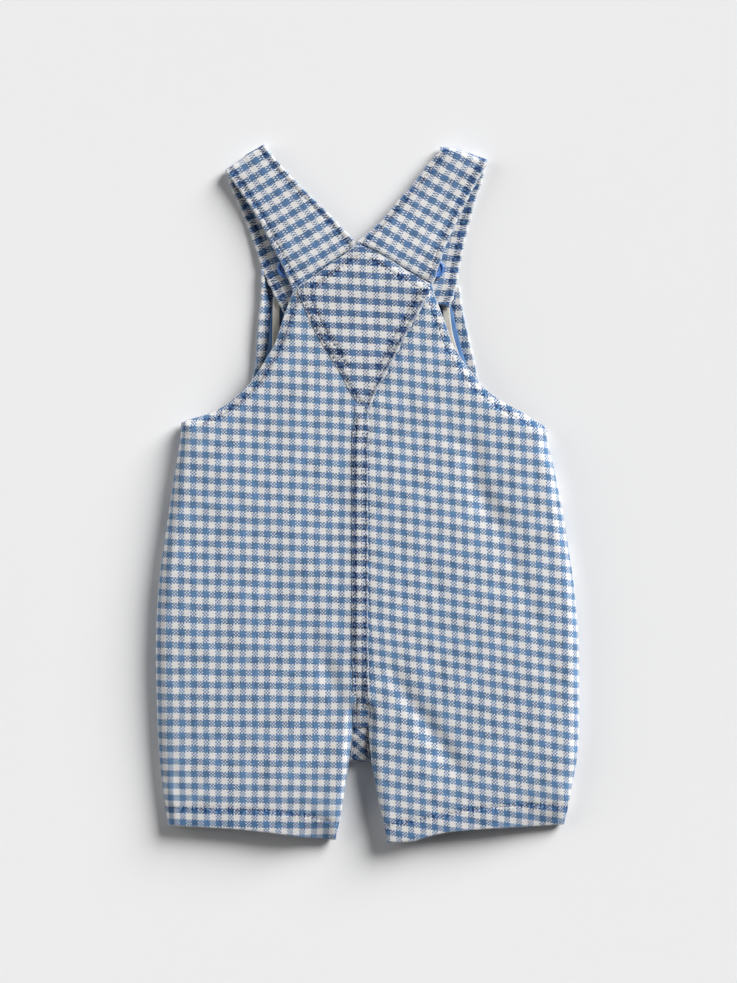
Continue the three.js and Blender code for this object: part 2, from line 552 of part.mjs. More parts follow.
add('back_left', backPanel(PANELS.left), GINGHAM);
add('back_right', backPanel(PANELS.right), GINGHAM);
add('back_yoke', yoke(), GINGHAM);
add('seat_seam', seatSeam(), GINGHAM);
add('crotch_gusset', gusset(), GINGHAM);
add('front_left', frontPanel(PANELS.left), GINGHAM);
add('front_right', frontPanel(PANELS.right), GINGHAM);
add('front_bib', bib(), GINGHAM);
add('bib_facing', facing(), CHAMBRAY);
add('facing_tape_left', tape(TAPE_LEFT), TAPE);
add('facing_tape_right', tape(TAPE_RIGHT), TAPE);

const STRAPS = {
  left: { faces: strapFaces(STRAP_LEFT_BACK, STRAP_LEFT_FRONT), seat: SEAT_LEFT },
  right: { faces: strapFaces(STRAP_RIGHT_BACK, STRAP_RIGHT_FRONT), seat: SEAT_RIGHT },
};
for (const [side, { faces, seat }] of Object.entries(STRAPS)) {
  add(`strap_${side}`, shellBetween(faces.outer, faces.inner), GINGHAM);
  seatButton(add(`strap_button_${side}`, button(), PLASTIC), faces, seat);
}

export default shortalls;
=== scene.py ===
"""Baby shortalls in gingham cloth, lying face down and flat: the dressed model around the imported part.

Sizes are millimetres in the part's own frame, with +Z up, until a mesh is written in metres. x runs from the
left side seam to the right one as seen from above, and y from the hems to the shoulders. Each cloth piece is
a grid of points worked out from short tables, given its wall, and dressed with a woven check that follows the
cloth's own grain.
"""

from __future__ import annotations

import logging
import math
from collections.abc import Sequence
from dataclasses import dataclass, field
from enum import Enum

import bpy
import numpy as np
from numpy.typing import NDArray
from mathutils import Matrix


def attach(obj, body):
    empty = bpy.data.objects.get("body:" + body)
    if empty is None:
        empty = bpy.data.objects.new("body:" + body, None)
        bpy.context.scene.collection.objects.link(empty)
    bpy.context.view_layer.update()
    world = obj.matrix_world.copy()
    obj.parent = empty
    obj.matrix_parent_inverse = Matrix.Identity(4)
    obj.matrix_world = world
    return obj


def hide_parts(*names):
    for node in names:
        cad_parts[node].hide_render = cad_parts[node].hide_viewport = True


Floats = NDArray[np.float64]
Socket = bpy.types.NodeSocket
Given = Socket | float | tuple[float, ...]
Inputs = dict[str | int, Given]
Colour = tuple[float, float, float]

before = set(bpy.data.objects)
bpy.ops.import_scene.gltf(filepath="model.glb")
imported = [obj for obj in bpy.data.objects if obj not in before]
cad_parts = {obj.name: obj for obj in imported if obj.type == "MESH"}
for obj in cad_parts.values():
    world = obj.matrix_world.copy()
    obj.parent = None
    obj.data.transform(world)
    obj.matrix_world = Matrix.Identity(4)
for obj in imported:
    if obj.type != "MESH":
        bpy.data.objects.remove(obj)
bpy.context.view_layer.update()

LOG = logging.getLogger("shortalls")
MM = 0.001
CHECK_SIZE = 7.45
BODY_WALL = 1.2
PATCH_WALL = 1.0
STRAP_WALL = 1.8
SEAM_GAP = 0.3


class Side(Enum):
    """Side of the garment, as seen from above."""

    LEFT = -1
    RIGHT = 1


class EdgeRun(Enum):
    """How a row of stitches closes in on itself along an edge."""

    TIGHT = 1.0
    EASY = 0.6
    FAINT = 0.3


@dataclass(frozen=True)
class Chart:
    """Short table with named columns, read along one of them.

    Attributes:
        names: The columns' names.
        rows: One tuple of numbers for each row.
    """

    names: tuple[str, ...]
    rows: tuple[tuple[float, ...], ...]

    def column(self, name: str) -> Floats:
        """All the numbers of one column."""
        return np.array([row[self.names.index(name)] for row in self.rows], dtype=float)

    def at(self, key: str, where: Floats | float, name: str) -> Floats:
        """One column's value, along a smooth curve, where the key column has the given value."""
        return smooth_between(self.column(key), self.column(name), np.asarray(where, dtype=float))

    def refined(self, key: str, step: float) -> Chart:
        """The same table with rows added along its smooth curves.

        Args:
            key: The column that grows from row to row.
            step: Distance between rows by that column.

        Returns:
            The longer table.
        """
        keys = self.column(key)
        where = np.unique(np.concatenate([keys, np.arange(keys[0], keys[-1], step)]))
        columns = np.stack([self.at(key, where, name) for name in self.names], axis=1)
        return Chart(self.names, tuple(tuple(row) for row in columns.tolist()))

    def steps(self, key: str, where: Floats | float, name: str) -> Floats:
        """One column's value on straight steps between the rows, carried on past both ends.

        Args:
            key: The column that grows or falls from row to row.
            where: Values of that column.
            name: The column to read.

        Returns:
            The values.
        """
        keys, values = self.column(key), self.column(name)
        order = np.argsort(keys)
        keys, values = keys[order], values[order]
        places = np.asarray(where, dtype=float)
        first = (values[1] - values[0]) / (keys[1] - keys[0])
        last = (values[-1] - values[-2]) / (keys[-1] - keys[-2])
        inside = np.interp(places, keys, values)
        return inside + np.minimum(places - keys[0], 0) * first + np.maximum(places - keys[-1], 0) * last


def smooth_between(keys: Floats, values: Floats, where: Floats) -> Floats:
    """Smooth curve through rows of values, held at its ends.

    Formula: Hermite cubic between two rows. Its slope at a row is the harmonic mean of the slopes on both
    sides, and 0 where the values turn back, so it never overshoots.

    Args:
        keys: Growing places of the rows.
        values: A value, or an array of values, for each row.
        where: Places to read.

    Returns:
        Values in the shape of where, followed by the shape of one row's value.
    """
    extra = values.ndim - 1
    span = np.diff(keys).reshape((-1,) + (1,) * extra)
    slope = np.diff(values, axis=0) / span
    before, after = slope[:-1], slope[1:]
    both = before * after
    safe = np.where(both > 0, before + after, 1.0)
    middle = np.where(both > 0, 2 * both / safe, 0.0)
    slopes = np.concatenate([slope[:1], middle, slope[-1:]])
    held = np.clip(where, keys[0], keys[-1])
    index = np.clip(np.searchsorted(keys, held, side="right") - 1, 0, len(keys) - 2)
    gap = keys[index + 1] - keys[index]
    t = ((held - keys[index]) / gap).reshape(where.shape + (1,) * extra)
    gap = gap.reshape(t.shape)
    rise = t * t * (3 - 2 * t)
    start, end = values[index], values[index + 1]
    leaving, arriving = slopes[index] * gap, slopes[index + 1] * gap
    return start + (end - start) * rise + leaving * t * (1 - t) ** 2 - arriving * t * t * (1 - t)


def unit(vectors: Floats) -> Floats:
    """Vectors of length 1 in the same directions."""
    length = np.linalg.norm(vectors, axis=-1, keepdims=True)
    return vectors / np.maximum(length, 1e-9)


def nearest_on(path: Chart, x: Floats, y: Floats) -> dict[str, Floats]:
    """Nearest place on a path of straight steps, for a whole array of points.

    Formula: each point is projected on each step, held between its ends, and the nearest step is kept.

    Args:
        path: Table with columns x and y, and any others.
        x: Places across.
        y: Places along.

    Returns:
        The path's columns there, with distance, along (the path's length before the place) and hand (1 to the
        right of the path's direction, otherwise -1).
    """
    across, up = path.column("x"), path.column("y")
    dx, dy = np.diff(across), np.diff(up)
    steps = np.hypot(dx, dy)
    px = x.reshape(-1, 1) - across[:-1]
    py = y.reshape(-1, 1) - up[:-1]
    t = np.clip((px * dx + py * dy) / steps**2, 0, 1)
    gap = np.hypot(px - t * dx, py - t * dy)
    best = gap.argmin(axis=1)
    rows = np.arange(best.size)
    t = t[rows, best]
    found = {}
    for name in path.names:
        values = path.column(name)
        found[name] = values[best] + (values[best + 1] - values[best]) * t
    before = np.concatenate([[0.0], np.cumsum(steps)])
    found["distance"] = gap[rows, best]
    found["along"] = before[best] + steps[best] * t
    turn = px[rows, best] * dy[best] - py[rows, best] * dx[best]
    found["hand"] = np.where(turn >= 0, 1.0, -1.0)
    return {name: values.reshape(x.shape) for name, values in found.items()}


def rounding(distance: Floats, roll: Floats | float, soft: Floats | float) -> Floats:
    """Rounding of cloth near an edge: 0 on the edge and 1 past the roll.

    Formula: a quarter circle, mixed with a half cosine by soft.

    Args:
        distance: Distance from the edge.
        roll: How far in the cloth is rounded.
        soft: 1 for a bevel with no round edge.

    Returns:
        The rounding.
    """
    t = np.minimum(distance / roll, 1.0)
    circle = np.sqrt(np.maximum(1 - (1 - t) ** 2, 0.0))
    bevel = 0.5 - 0.5 * np.cos(np.pi * t)
    return circle + (bevel - circle) * soft


def path_of(x: Floats, y: Floats) -> Chart:
    """Path with columns x and y, from its points."""
    return Chart(("x", "y"), tuple(zip(x.tolist(), y.tolist())))


def run_length(points: Floats) -> Floats:
    """Length of a row of points before each of them."""
    return np.concatenate([[0.0], np.cumsum(np.linalg.norm(np.diff(points, axis=0), axis=1))])


def read_along(where: Floats, length: Floats, points: Floats) -> Floats:
    """Places at given lengths on a row of points with straight steps between them."""
    return np.stack([np.interp(where, length, column) for column in points.T], axis=1)


def beside(path: Chart, offset: float, low: float, high: float) -> Chart:
    """Path beside another one.

    Formula: each point moves along its normal, to the right of the path's direction where offset is above 0.

    Args:
        path: Table with columns x and y.
        offset: How far to move.
        low: The lowest y that is kept.
        high: The highest y that is kept.

    Returns:
        A table with columns x and y.
    """
    points = np.stack([path.column("x"), path.column("y")], axis=1)
    along = unit(np.gradient(points, axis=0))
    moved = points + offset * np.stack([along[:, 1], -along[:, 0]], axis=1)
    kept = moved[(points[:, 1] >= low) & (points[:, 1] <= high)]
    return path_of(kept[:, 0], kept[:, 1])


def facing(path: Chart, side: Side) -> Chart:
    """The path, turned round on the left so that its right hand is always outwards."""
    return path if side is Side.RIGHT else Chart(path.names, path.rows[::-1])


@dataclass(frozen=True)
class SewnLine:
    """Row of stitches, as it runs over the cloth seen from above.

    Attributes:
        path: Table with columns x and y.
        run: How hard the stitches draw the cloth together.
    """

    path: Chart
    run: EdgeRun = EdgeRun.EASY


def seam_field(x: Floats, y: Floats, lines: tuple[SewnLine, ...]) -> Floats:
    """Distance to the nearest row of stitches, place along it, and how hard it draws.

    Args:
        x: Places across.
        y: Places along.
        lines: The rows of stitches.

    Returns:
        Three numbers for each place. The distance is 50 at most.
    """
    field_ = np.zeros(x.shape + (3,))
    field_[..., 0] = 50.0
    for line in lines:
        near = nearest_on(line.path, x, y)
        closer = near["distance"] < np.abs(field_[..., 0])
        offset, draw = near["distance"] * near["hand"], np.full(x.shape, line.run.value)
        found = np.stack([offset, near["along"], draw], axis=-1)
        field_ = np.where(closer[..., None], found, field_)
    return field_


def groove(seam: Floats, depth: float, reach: float) -> Floats:
    """Dent of a row of stitches: minus depth times a bell of the distance, times a wave from 0.55 to 1."""
    wave = 0.775 + 0.225 * np.cos(seam[..., 1] * 2.1 + 1.7 * np.sin(seam[..., 1] * 0.37))
    return -depth * seam[..., 2] * wave * np.exp(-((seam[..., 0] / reach) ** 2))


@dataclass(frozen=True)
class CheckGrid:
    """Where the woven checks run on a panel, counted in checks at two places across it.

    Attributes:
        columns: Table with columns y, first and last: x of the two counted dark columns at each height.
        rows: Table with columns row, first and last: y of each counted dark row at those two places.
        first: Number of the first counted column.
        last: Number of the last counted column.
    """

    columns: Chart
    rows: Chart
    first: float
    last: float

    def at(self, x: Floats, y: Floats) -> Floats:
        """Check counts across and down the cloth, whole in the middle of a dark band.

        Formula: the place between the two counted columns, and the row counts there mixed by it.

        Args:
            x: Places across.
            y: Places along.

        Returns:
            Two numbers for each place.
        """
        left = self.columns.steps("y", y, "first")
        right = self.columns.steps("y", y, "last")
        part = (x - left) / (right - left)
        upper = self.rows.steps("first", y, "row")
        lower = self.rows.steps("last", y, "row")
        column = self.first + (self.last - self.first) * part
        return np.stack([column, upper + (lower - upper) * part], axis=-1)


@dataclass(frozen=True)
class CheckLattice:
    """Straight woven checks, from the middle of one light check and the steps to its neighbours.

    Attributes:
        light: x and y of the middle of a light check.
        across: Step to the next light check across the cloth.
        down: Step to the next light check down the cloth.
    """

    light: tuple[float, float]
    across: tuple[float, float]
    down: tuple[float, float]

    def at(self, x: Floats, y: Floats) -> Floats:
        """Check counts: the place from the light check, by the inverse of the two steps' matrix."""
        steps = np.linalg.inv(np.array([self.across, self.down], dtype=float).T)
        return np.stack([x - self.light[0], y - self.light[1]], axis=-1) @ steps.T + 0.5


@dataclass
class ClothFace:
    """Outer face of a cloth piece, as a grid of points with what the finish needs.

    Attributes:
        points: Rows and columns of points, in millimetres.
        checks: Check counts at each point.
        seam: Array from seam_field.
        wall: Thickness of the cloth, one number or one for each point.
        sign: 1 where columns crossed with rows point out of the face, otherwise -1.
        wear_and_highlight: How pale each point is, beside the rims, which are always pale. The paleness is
            partly wear and partly a painted highlight.
    """

    points: Floats
    checks: Floats
    seam: Floats
    wall: Floats | float
    sign: float
    wear_and_highlight: Floats | float = 0.0

    def normals(self) -> Floats:
        """Normals that point out of the face."""
        across = np.gradient(self.points, axis=1)
        up = np.gradient(self.points, axis=0)
        return unit(np.cross(across, up)) * self.sign

    def moved_out(self, distance: Floats | float) -> ClothFace:
        """The same face, moved along its own normals."""
        away = np.broadcast_to(np.asarray(distance, dtype=float), self.points.shape[:2])
        points = self.points + self.normals() * away[..., None]
        return ClothFace(points, self.checks, self.seam, self.wall, self.sign, self.wear_and_highlight)

    def cut(self) -> tuple[float, float, float]:
        """Width, length and area of the piece laid flat, in metres and square metres.

        Formula: the longest row, the longest column, and the sum of the areas of all the grid's cells.
        """
        across = np.linalg.norm(np.diff(self.points, axis=1), axis=2).sum(axis=1).max()
        along = np.linalg.norm(np.diff(self.points, axis=0), axis=2).sum(axis=0).max()
        one = self.points[1:, 1:] - self.points[:-1, :-1]
        other = self.points[1:, :-1] - self.points[:-1, 1:]
        area = np.linalg.norm(np.cross(one, other), axis=2).sum() / 2
        return float(across) * MM, float(along) * MM, float(area) * MM * MM


@dataclass
class MeshData:
    """Vertices in millimetres with faces of four or three corners and what each vertex carries."""

    vertices: Floats
    quads: NDArray[np.int64]
    triangles: NDArray[np.int64] = field(default_factory=lambda: np.zeros((0, 3), np.int64))
    checks: Floats | None = None
    seam: Floats | None = None
    # Paleness of the rims and folds, partly wear and partly a painted highlight.
    paling: Floats | None = None


def grid_faces(index: NDArray[np.int64], flip: bool = False) -> NDArray[np.int64]:
    """Faces of four corners in a grid of vertex numbers, looking the other way where flip is true."""
    corners = [index[:-1, :-1], index[:-1, 1:], index[1:, 1:], index[1:, :-1]]
    return np.stack(corners[::-1] if flip else corners, axis=-1).reshape(-1, 4)


def closed_wall(face: ClothFace) -> MeshData:
    """Closed wall of cloth with rounded rims.

    Formula: the middle of the wall is the face moved in by half the wall, with two rings of points round it.
    Both faces are the middle plus half the wall times the normal, which turns outwards in the first ring and
    lies flat in the last, where the faces share their points.

    Args:
        face: The outer face.

    Returns:
        The closed mesh.
    """
    points = face.points
    rows, columns = points.shape[:2]
    half = np.broadcast_to(np.asarray(face.wall, dtype=float) / 2, (rows, columns))[..., None]
    normal = face.normals()
    middle = points - normal * half
    up = unit(np.gradient(points, axis=0))
    across = unit(np.gradient(points, axis=1))

    def padded(values: Floats) -> Floats:
        """Values with two more rings round them, equal to the nearest ones."""
        return np.pad(values, ((2, 2), (2, 2)) + ((0, 0),) * (values.ndim - 2), mode="edge")

    def turns(count: int) -> Floats:
        """Sine of the wall's turn in each row: none inside, and up to a right angle in the rings."""
        return np.sin(np.concatenate([[-0.5, -0.25], np.zeros(count), [0.25, 0.5]]) * np.pi)

    def on_both(upper: Floats, lower: Floats) -> Floats:
        """Values of the outer face's vertices, then of the inner face's, which has no last ring of its own."""
        shape = (-1, *upper.shape[2:])
        return np.concatenate([upper.reshape(shape), lower[1:-1, 1:-1].reshape(shape)])

    by_row = np.broadcast_to(turns(rows)[:, None], (rows + 4, columns + 4))
    by_column = np.broadcast_to(turns(columns)[None, :], (rows + 4, columns + 4))
    reach = np.maximum(np.abs(by_row), np.abs(by_column))
    scale = reach / np.maximum(np.hypot(by_row, by_column), 1e-9)
    outward = padded(up) * (by_row * scale)[..., None] + padded(across) * (by_column * scale)[..., None]
    lift = padded(normal) * np.sqrt(np.maximum(1 - reach**2, 0))[..., None]
    centre, size = padded(middle), padded(half)
    count = (rows + 4) * (columns + 4)
    outer_index = np.arange(count).reshape(rows + 4, columns + 4)
    inner_index = outer_index.copy()
    inner_index[1:-1, 1:-1] = count + np.arange((rows + 2) * (columns + 2)).reshape(rows + 2, columns + 2)
    checks = padded(face.checks)
    for axis, turn in ((0, by_row), (1, by_column)):
        gap = np.linalg.norm(np.gradient(points, axis=axis), axis=-1, keepdims=True)
        slope = padded(np.gradient(face.checks, axis=axis) / np.maximum(gap, 1e-2))
        checks = checks + slope * np.arcsin(turn)[..., None] * size
    seam = padded(face.seam)
    # Rims are always paler: partly wear, partly a painted highlight on the folded edges.
    paling = np.ones(reach.shape)
    paling[2:-2, 2:-2] = 0.5
    paling[3:-3, 3:-3] = 0.0
    paling = np.maximum(paling, padded(np.broadcast_to(face.wear_and_highlight, (rows, columns))))
    return MeshData(
        vertices=on_both(centre + (outward + lift) * size, centre + (outward - lift) * size),
        quads=np.concatenate([grid_faces(outer_index, face.sign < 0), grid_faces(inner_index, face.sign > 0)]),
        paling=on_both(paling, paling),
        checks=on_both(checks, checks),
        seam=on_both(seam, seam),
    )


def lathe(profile: Floats, sides: int) -> MeshData:
    """Closed round solid from a profile whose two ends lie on the axis.

    Formula: each point of the profile becomes a ring, and each end is one point.

    Args:
        profile: Radius and height of each point, from the bottom round to the top.
        sides: Number of steps round the axis.

    Returns:
        The closed mesh, with its axis along +Z.
    """
    angle = np.arange(sides) * 2 * np.pi / sides
    ring = profile[1:-1]
    x = ring[:, :1] * np.cos(angle)
    y = ring[:, :1] * np.sin(angle)
    body = np.stack([x, y, np.broadcast_to(ring[:, 1:], x.shape)], axis=-1).reshape(-1, 3)
    ends = np.array([[0, 0, profile[0, 1]], [0, 0, profile[-1, 1]]], dtype=float)
    index = np.pad(np.arange(x.size).reshape(x.shape), ((0, 0), (0, 1)), mode="wrap")
    under = np.stack([index[0, 1:], index[0, :-1], np.full(sides, x.size)], axis=-1)
    over = np.stack([index[-1, :-1], index[-1, 1:], np.full(sides, x.size + 1)], axis=-1)
    return MeshData(np.concatenate([body, ends]), grid_faces(index), np.concatenate([under, over]))


def joined(parts: list[MeshData]) -> MeshData:
    """Several meshes in one, with their faces renumbered."""
    offsets = np.cumsum([0] + [len(part.vertices) for part in parts[:-1]])
    return MeshData(
        np.concatenate([part.vertices for part in parts]),
        np.concatenate([part.quads + offset for part, offset in zip(parts, offsets)]),
        np.concatenate([part.triangles + offset for part, offset in zip(parts, offsets)]),
    )


def put_in_scene(name: str, data: MeshData, material: bpy.types.Material) -> bpy.types.Object:
    """Writes a mesh in metres and links its object at the origin.

    Args:
        name: Name of the object and its mesh.
        data: The mesh, in millimetres.
        material: The finish.

    Returns:
        The object.
    """
    mesh = bpy.data.meshes.new(name)
    corners = np.concatenate([data.quads.ravel(), data.triangles.ravel()]).astype(np.int32)
    sizes = np.concatenate([np.full(len(data.quads), 4), np.full(len(data.triangles), 3)])
    starts = np.concatenate([[0], np.cumsum(sizes)[:-1]]).astype(np.int32)
    mesh.vertices.add(len(data.vertices))
    mesh.vertices.foreach_set("co", (data.vertices * MM).astype(np.float32).ravel())
    mesh.loops.add(len(corners))
    mesh.loops.foreach_set("vertex_index", corners)
    mesh.polygons.add(len(starts))
    mesh.polygons.foreach_set("loop_start", starts)
    mesh.polygons.foreach_set("use_smooth", np.ones(len(starts), dtype=bool))
    mesh.update(calc_edges=True)
    if data.checks is not None:
        layer = mesh.uv_layers.new(name="checks")
        layer.uv.foreach_set("vector", data.checks[corners].astype(np.float32).ravel())
    if data.seam is not None:
        sewn = mesh.attributes.new("seam", "FLOAT_VECTOR", "POINT")
        sewn.data.foreach_set("vector", data.seam.astype(np.float32).ravel())
    # Paleness of rims and folds for the finish: partly wear, partly a painted highlight.
    if data.paling is not None:
        rim = mesh.attributes.new("paling", "FLOAT", "POINT")
        rim.data.foreach_set("value", data.paling.astype(np.float32))
    mesh.validate()
    mesh.materials.append(material)
    piece = bpy.data.objects.new(name, mesh)
    bpy.context.scene.collection.objects.link(piece)
    LOG.info("%s: %d faces", name, len(starts))
    return piece


def lay_cloth(
    name: str,
    face: ClothFace,
    finish: bpy.types.Material,
    on: Sequence[str] = (),
) -> bpy.types.Object:
    """Args:
        name: The solid's node, which also names the piece.
        face: The outer face.
        finish: The material.
        on: What the cloth lies on, not used. Nothing stands for a narrow strip, which isn't a sheet of its own.

    Returns:
        The piece.
    """
    piece = put_in_scene(name + "_cloth", closed_wall(face), finish)
    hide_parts(name)
    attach(piece, "root")
    width, length, area = face.cut()
    LOG.info("%s: cut %.0f by %.0f mm, %.0f square cm", name, width / MM, length / MM, area * 1e4)
    if on:
        area = min(area, width * length)
    return piece


@dataclass(frozen=True)
class Thread:
    """Sewing thread and the size of one stitch.

    Attributes:
        pitch: Distance from one stitch to the next.
        length: Length of a stitch that shows.
        radius: Half its thickness.
    """

    pitch: float = 2.7
    length: float = 2.0
    radius: float = 0.21

    def stitch(self) -> MeshData:
        """One stitch along +X: a lathe profile turned on its side, with tapered ends."""
        steps = np.linspace(-1, 1, 5)
        radius = self.radius * np.sqrt(np.maximum(1 - steps**4, 0))
        profile = np.stack([radius, steps * self.length / 2], axis=1)
        turned = lathe(profile, 6)
        turned.vertices = turned.vertices[:, [2, 0, 1]]
        return turned

    def sew(self, path: Floats, normal: Floats) -> MeshData:
        """Stitches along a path on a face.

        Formula: one stitch at each pitch, its x, y and z turned to the path, sideways and the normal.

        Args:
            path: Points of the path, in order.
            normal: The face's normal at each point.

        Returns:
            All the stitches in one mesh.
        """
        length = run_length(path)
        count = max(int(length[-1] / self.pitch), 1)
        where = (np.arange(count) + 0.5) * length[-1] / count
        along = unit(read_along(where + 0.5, length, path) - read_along(where - 0.5, length, path))
        sideways = unit(np.cross(unit(read_along(where, length, normal)), along))
        axes = np.stack([along, sideways, np.cross(along, sideways)], axis=1)
        one = self.stitch()
        placed = np.einsum("vk,nkj->nvj", one.vertices, axes) + read_along(where, length, path)[:, None, :]
        offsets = np.arange(count)[:, None, None] * len(one.vertices)
        return MeshData(
            placed.reshape(-1, 3),
            (one.quads[None] + offsets).reshape(-1, 4),
            (one.triangles[None] + offsets).reshape(-1, 3),
        )


class Nodes:
    """Adds and links shader nodes in one tree."""

    def __init__(self, tree: bpy.types.NodeTree) -> None:
        """Keeps the tree that the nodes go into."""
        self.tree = tree

    def add(self, kind: str, inputs: Inputs | None = None, **settings: object) -> bpy.types.Node:
        """A new node.

        Args:
            kind: The node's type, without its ShaderNode prefix.
            inputs: A value or a link for some of its inputs, by name or number.
            **settings: Properties to set on it.

        Returns:
            The node.
        """
        node = self.tree.nodes.new("ShaderNode" + kind)
        for name, value in settings.items():
            setattr(node, name, value)
        self.fill(node, inputs or {})
        return node

    def fill(self, node: bpy.types.Node, inputs: Inputs) -> None:
        """Gives a node's inputs, by name or number, their values or links."""
        for name, value in inputs.items():
            self.feed(node.inputs[name], value)

    def feed(self, socket: Socket, value: Given) -> None:
        """Links a socket to another one, or sets its value. A colour's three numbers become opaque."""
        if isinstance(value, bpy.types.NodeSocket):
            self.tree.links.new(value, socket)
        elif isinstance(value, tuple) and socket.type == "RGBA":
            socket.default_value = (*value, 1.0)
        else:
            socket.default_value = value

    def math(self, operation: str, *values: Socket | float, clamp: bool = False) -> Socket:
        """Result of a Math node, held between 0 and 1 where clamp is true."""
        return self.add("Math", dict(enumerate(values)), operation=operation, use_clamp=clamp).outputs[0]

    def vector(self, operation: str, *values: Socket | tuple[float, float, float]) -> Socket:
        """Result of a Vector Math node."""
        return self.add("VectorMath", dict(enumerate(values)), operation=operation).outputs[0]

    def ramp(self, value: Socket, low: float, high: float, start: float = 0.0, end: float = 1.0) -> Socket:
        """A value carried smoothly from the range low to high into the range start to end, and held there."""
        inputs = dict(enumerate((value, low, high, start, end)))
        return self.add("MapRange", inputs, interpolation_type="SMOOTHSTEP").outputs[0]

    def blend(self, share: Socket, first: Socket | Colour, second: Socket | Colour) -> Socket:
        """Two colours mixed by the second one's share."""
        inputs = {0: share, 6: first, 7: second}
        return self.add("Mix", inputs, data_type="RGBA", blend_type="MIX", clamp_factor=True).outputs[2]

    def noise(self, place: Socket, scale: float, detail: float = 2.0) -> Socket:
        """Soft noise between 0 and 1."""
        return self.add("TexNoise", {"Vector": place, "Scale": scale, "Detail": detail}).outputs[0]

    def bump(self, height: Socket, distance: float, strength: float) -> Socket:
        """Normal of a face with a relief."""
        return self.add("Bump", {"Height": height, "Distance": distance, "Strength": strength}).outputs[0]

    def split(self, place: Socket) -> list[Socket]:
        """The three numbers of a vector."""
        return list(self.add("SeparateXYZ", {0: place}).outputs)


class ShaderGroup:
    """A shader node group with named inputs and outputs, built once."""

    def __init__(self, name: str, inputs: dict[str, str], outputs: dict[str, str]) -> None:
        """Makes the empty group.

        Args:
            name: The group's name.
            inputs: Kind of socket for each input's name, such as Float, Color or Vector.
            outputs: The same for the outputs.
        """
        self.tree = bpy.data.node_groups.new(name, "ShaderNodeTree")
        for words, kinds in (("INPUT", inputs), ("OUTPUT", outputs)):
            for label, kind in kinds.items():
                self.tree.interface.new_socket(name=label, in_out=words, socket_type="NodeSocket" + kind)
        self.nodes = Nodes(self.tree)
        self.given = self.tree.nodes.new("NodeGroupInput").outputs
        self.result = self.tree.nodes.new("NodeGroupOutput").inputs

    def put_in(self, nodes: Nodes, **values: Given) -> bpy.types.Node:
        """Places the group in a material, with inputs whose names have underscores for spaces."""
        inputs = {name.replace("_", " "): value for name, value in values.items()}
        return nodes.add("Group", inputs, node_tree=self.tree)


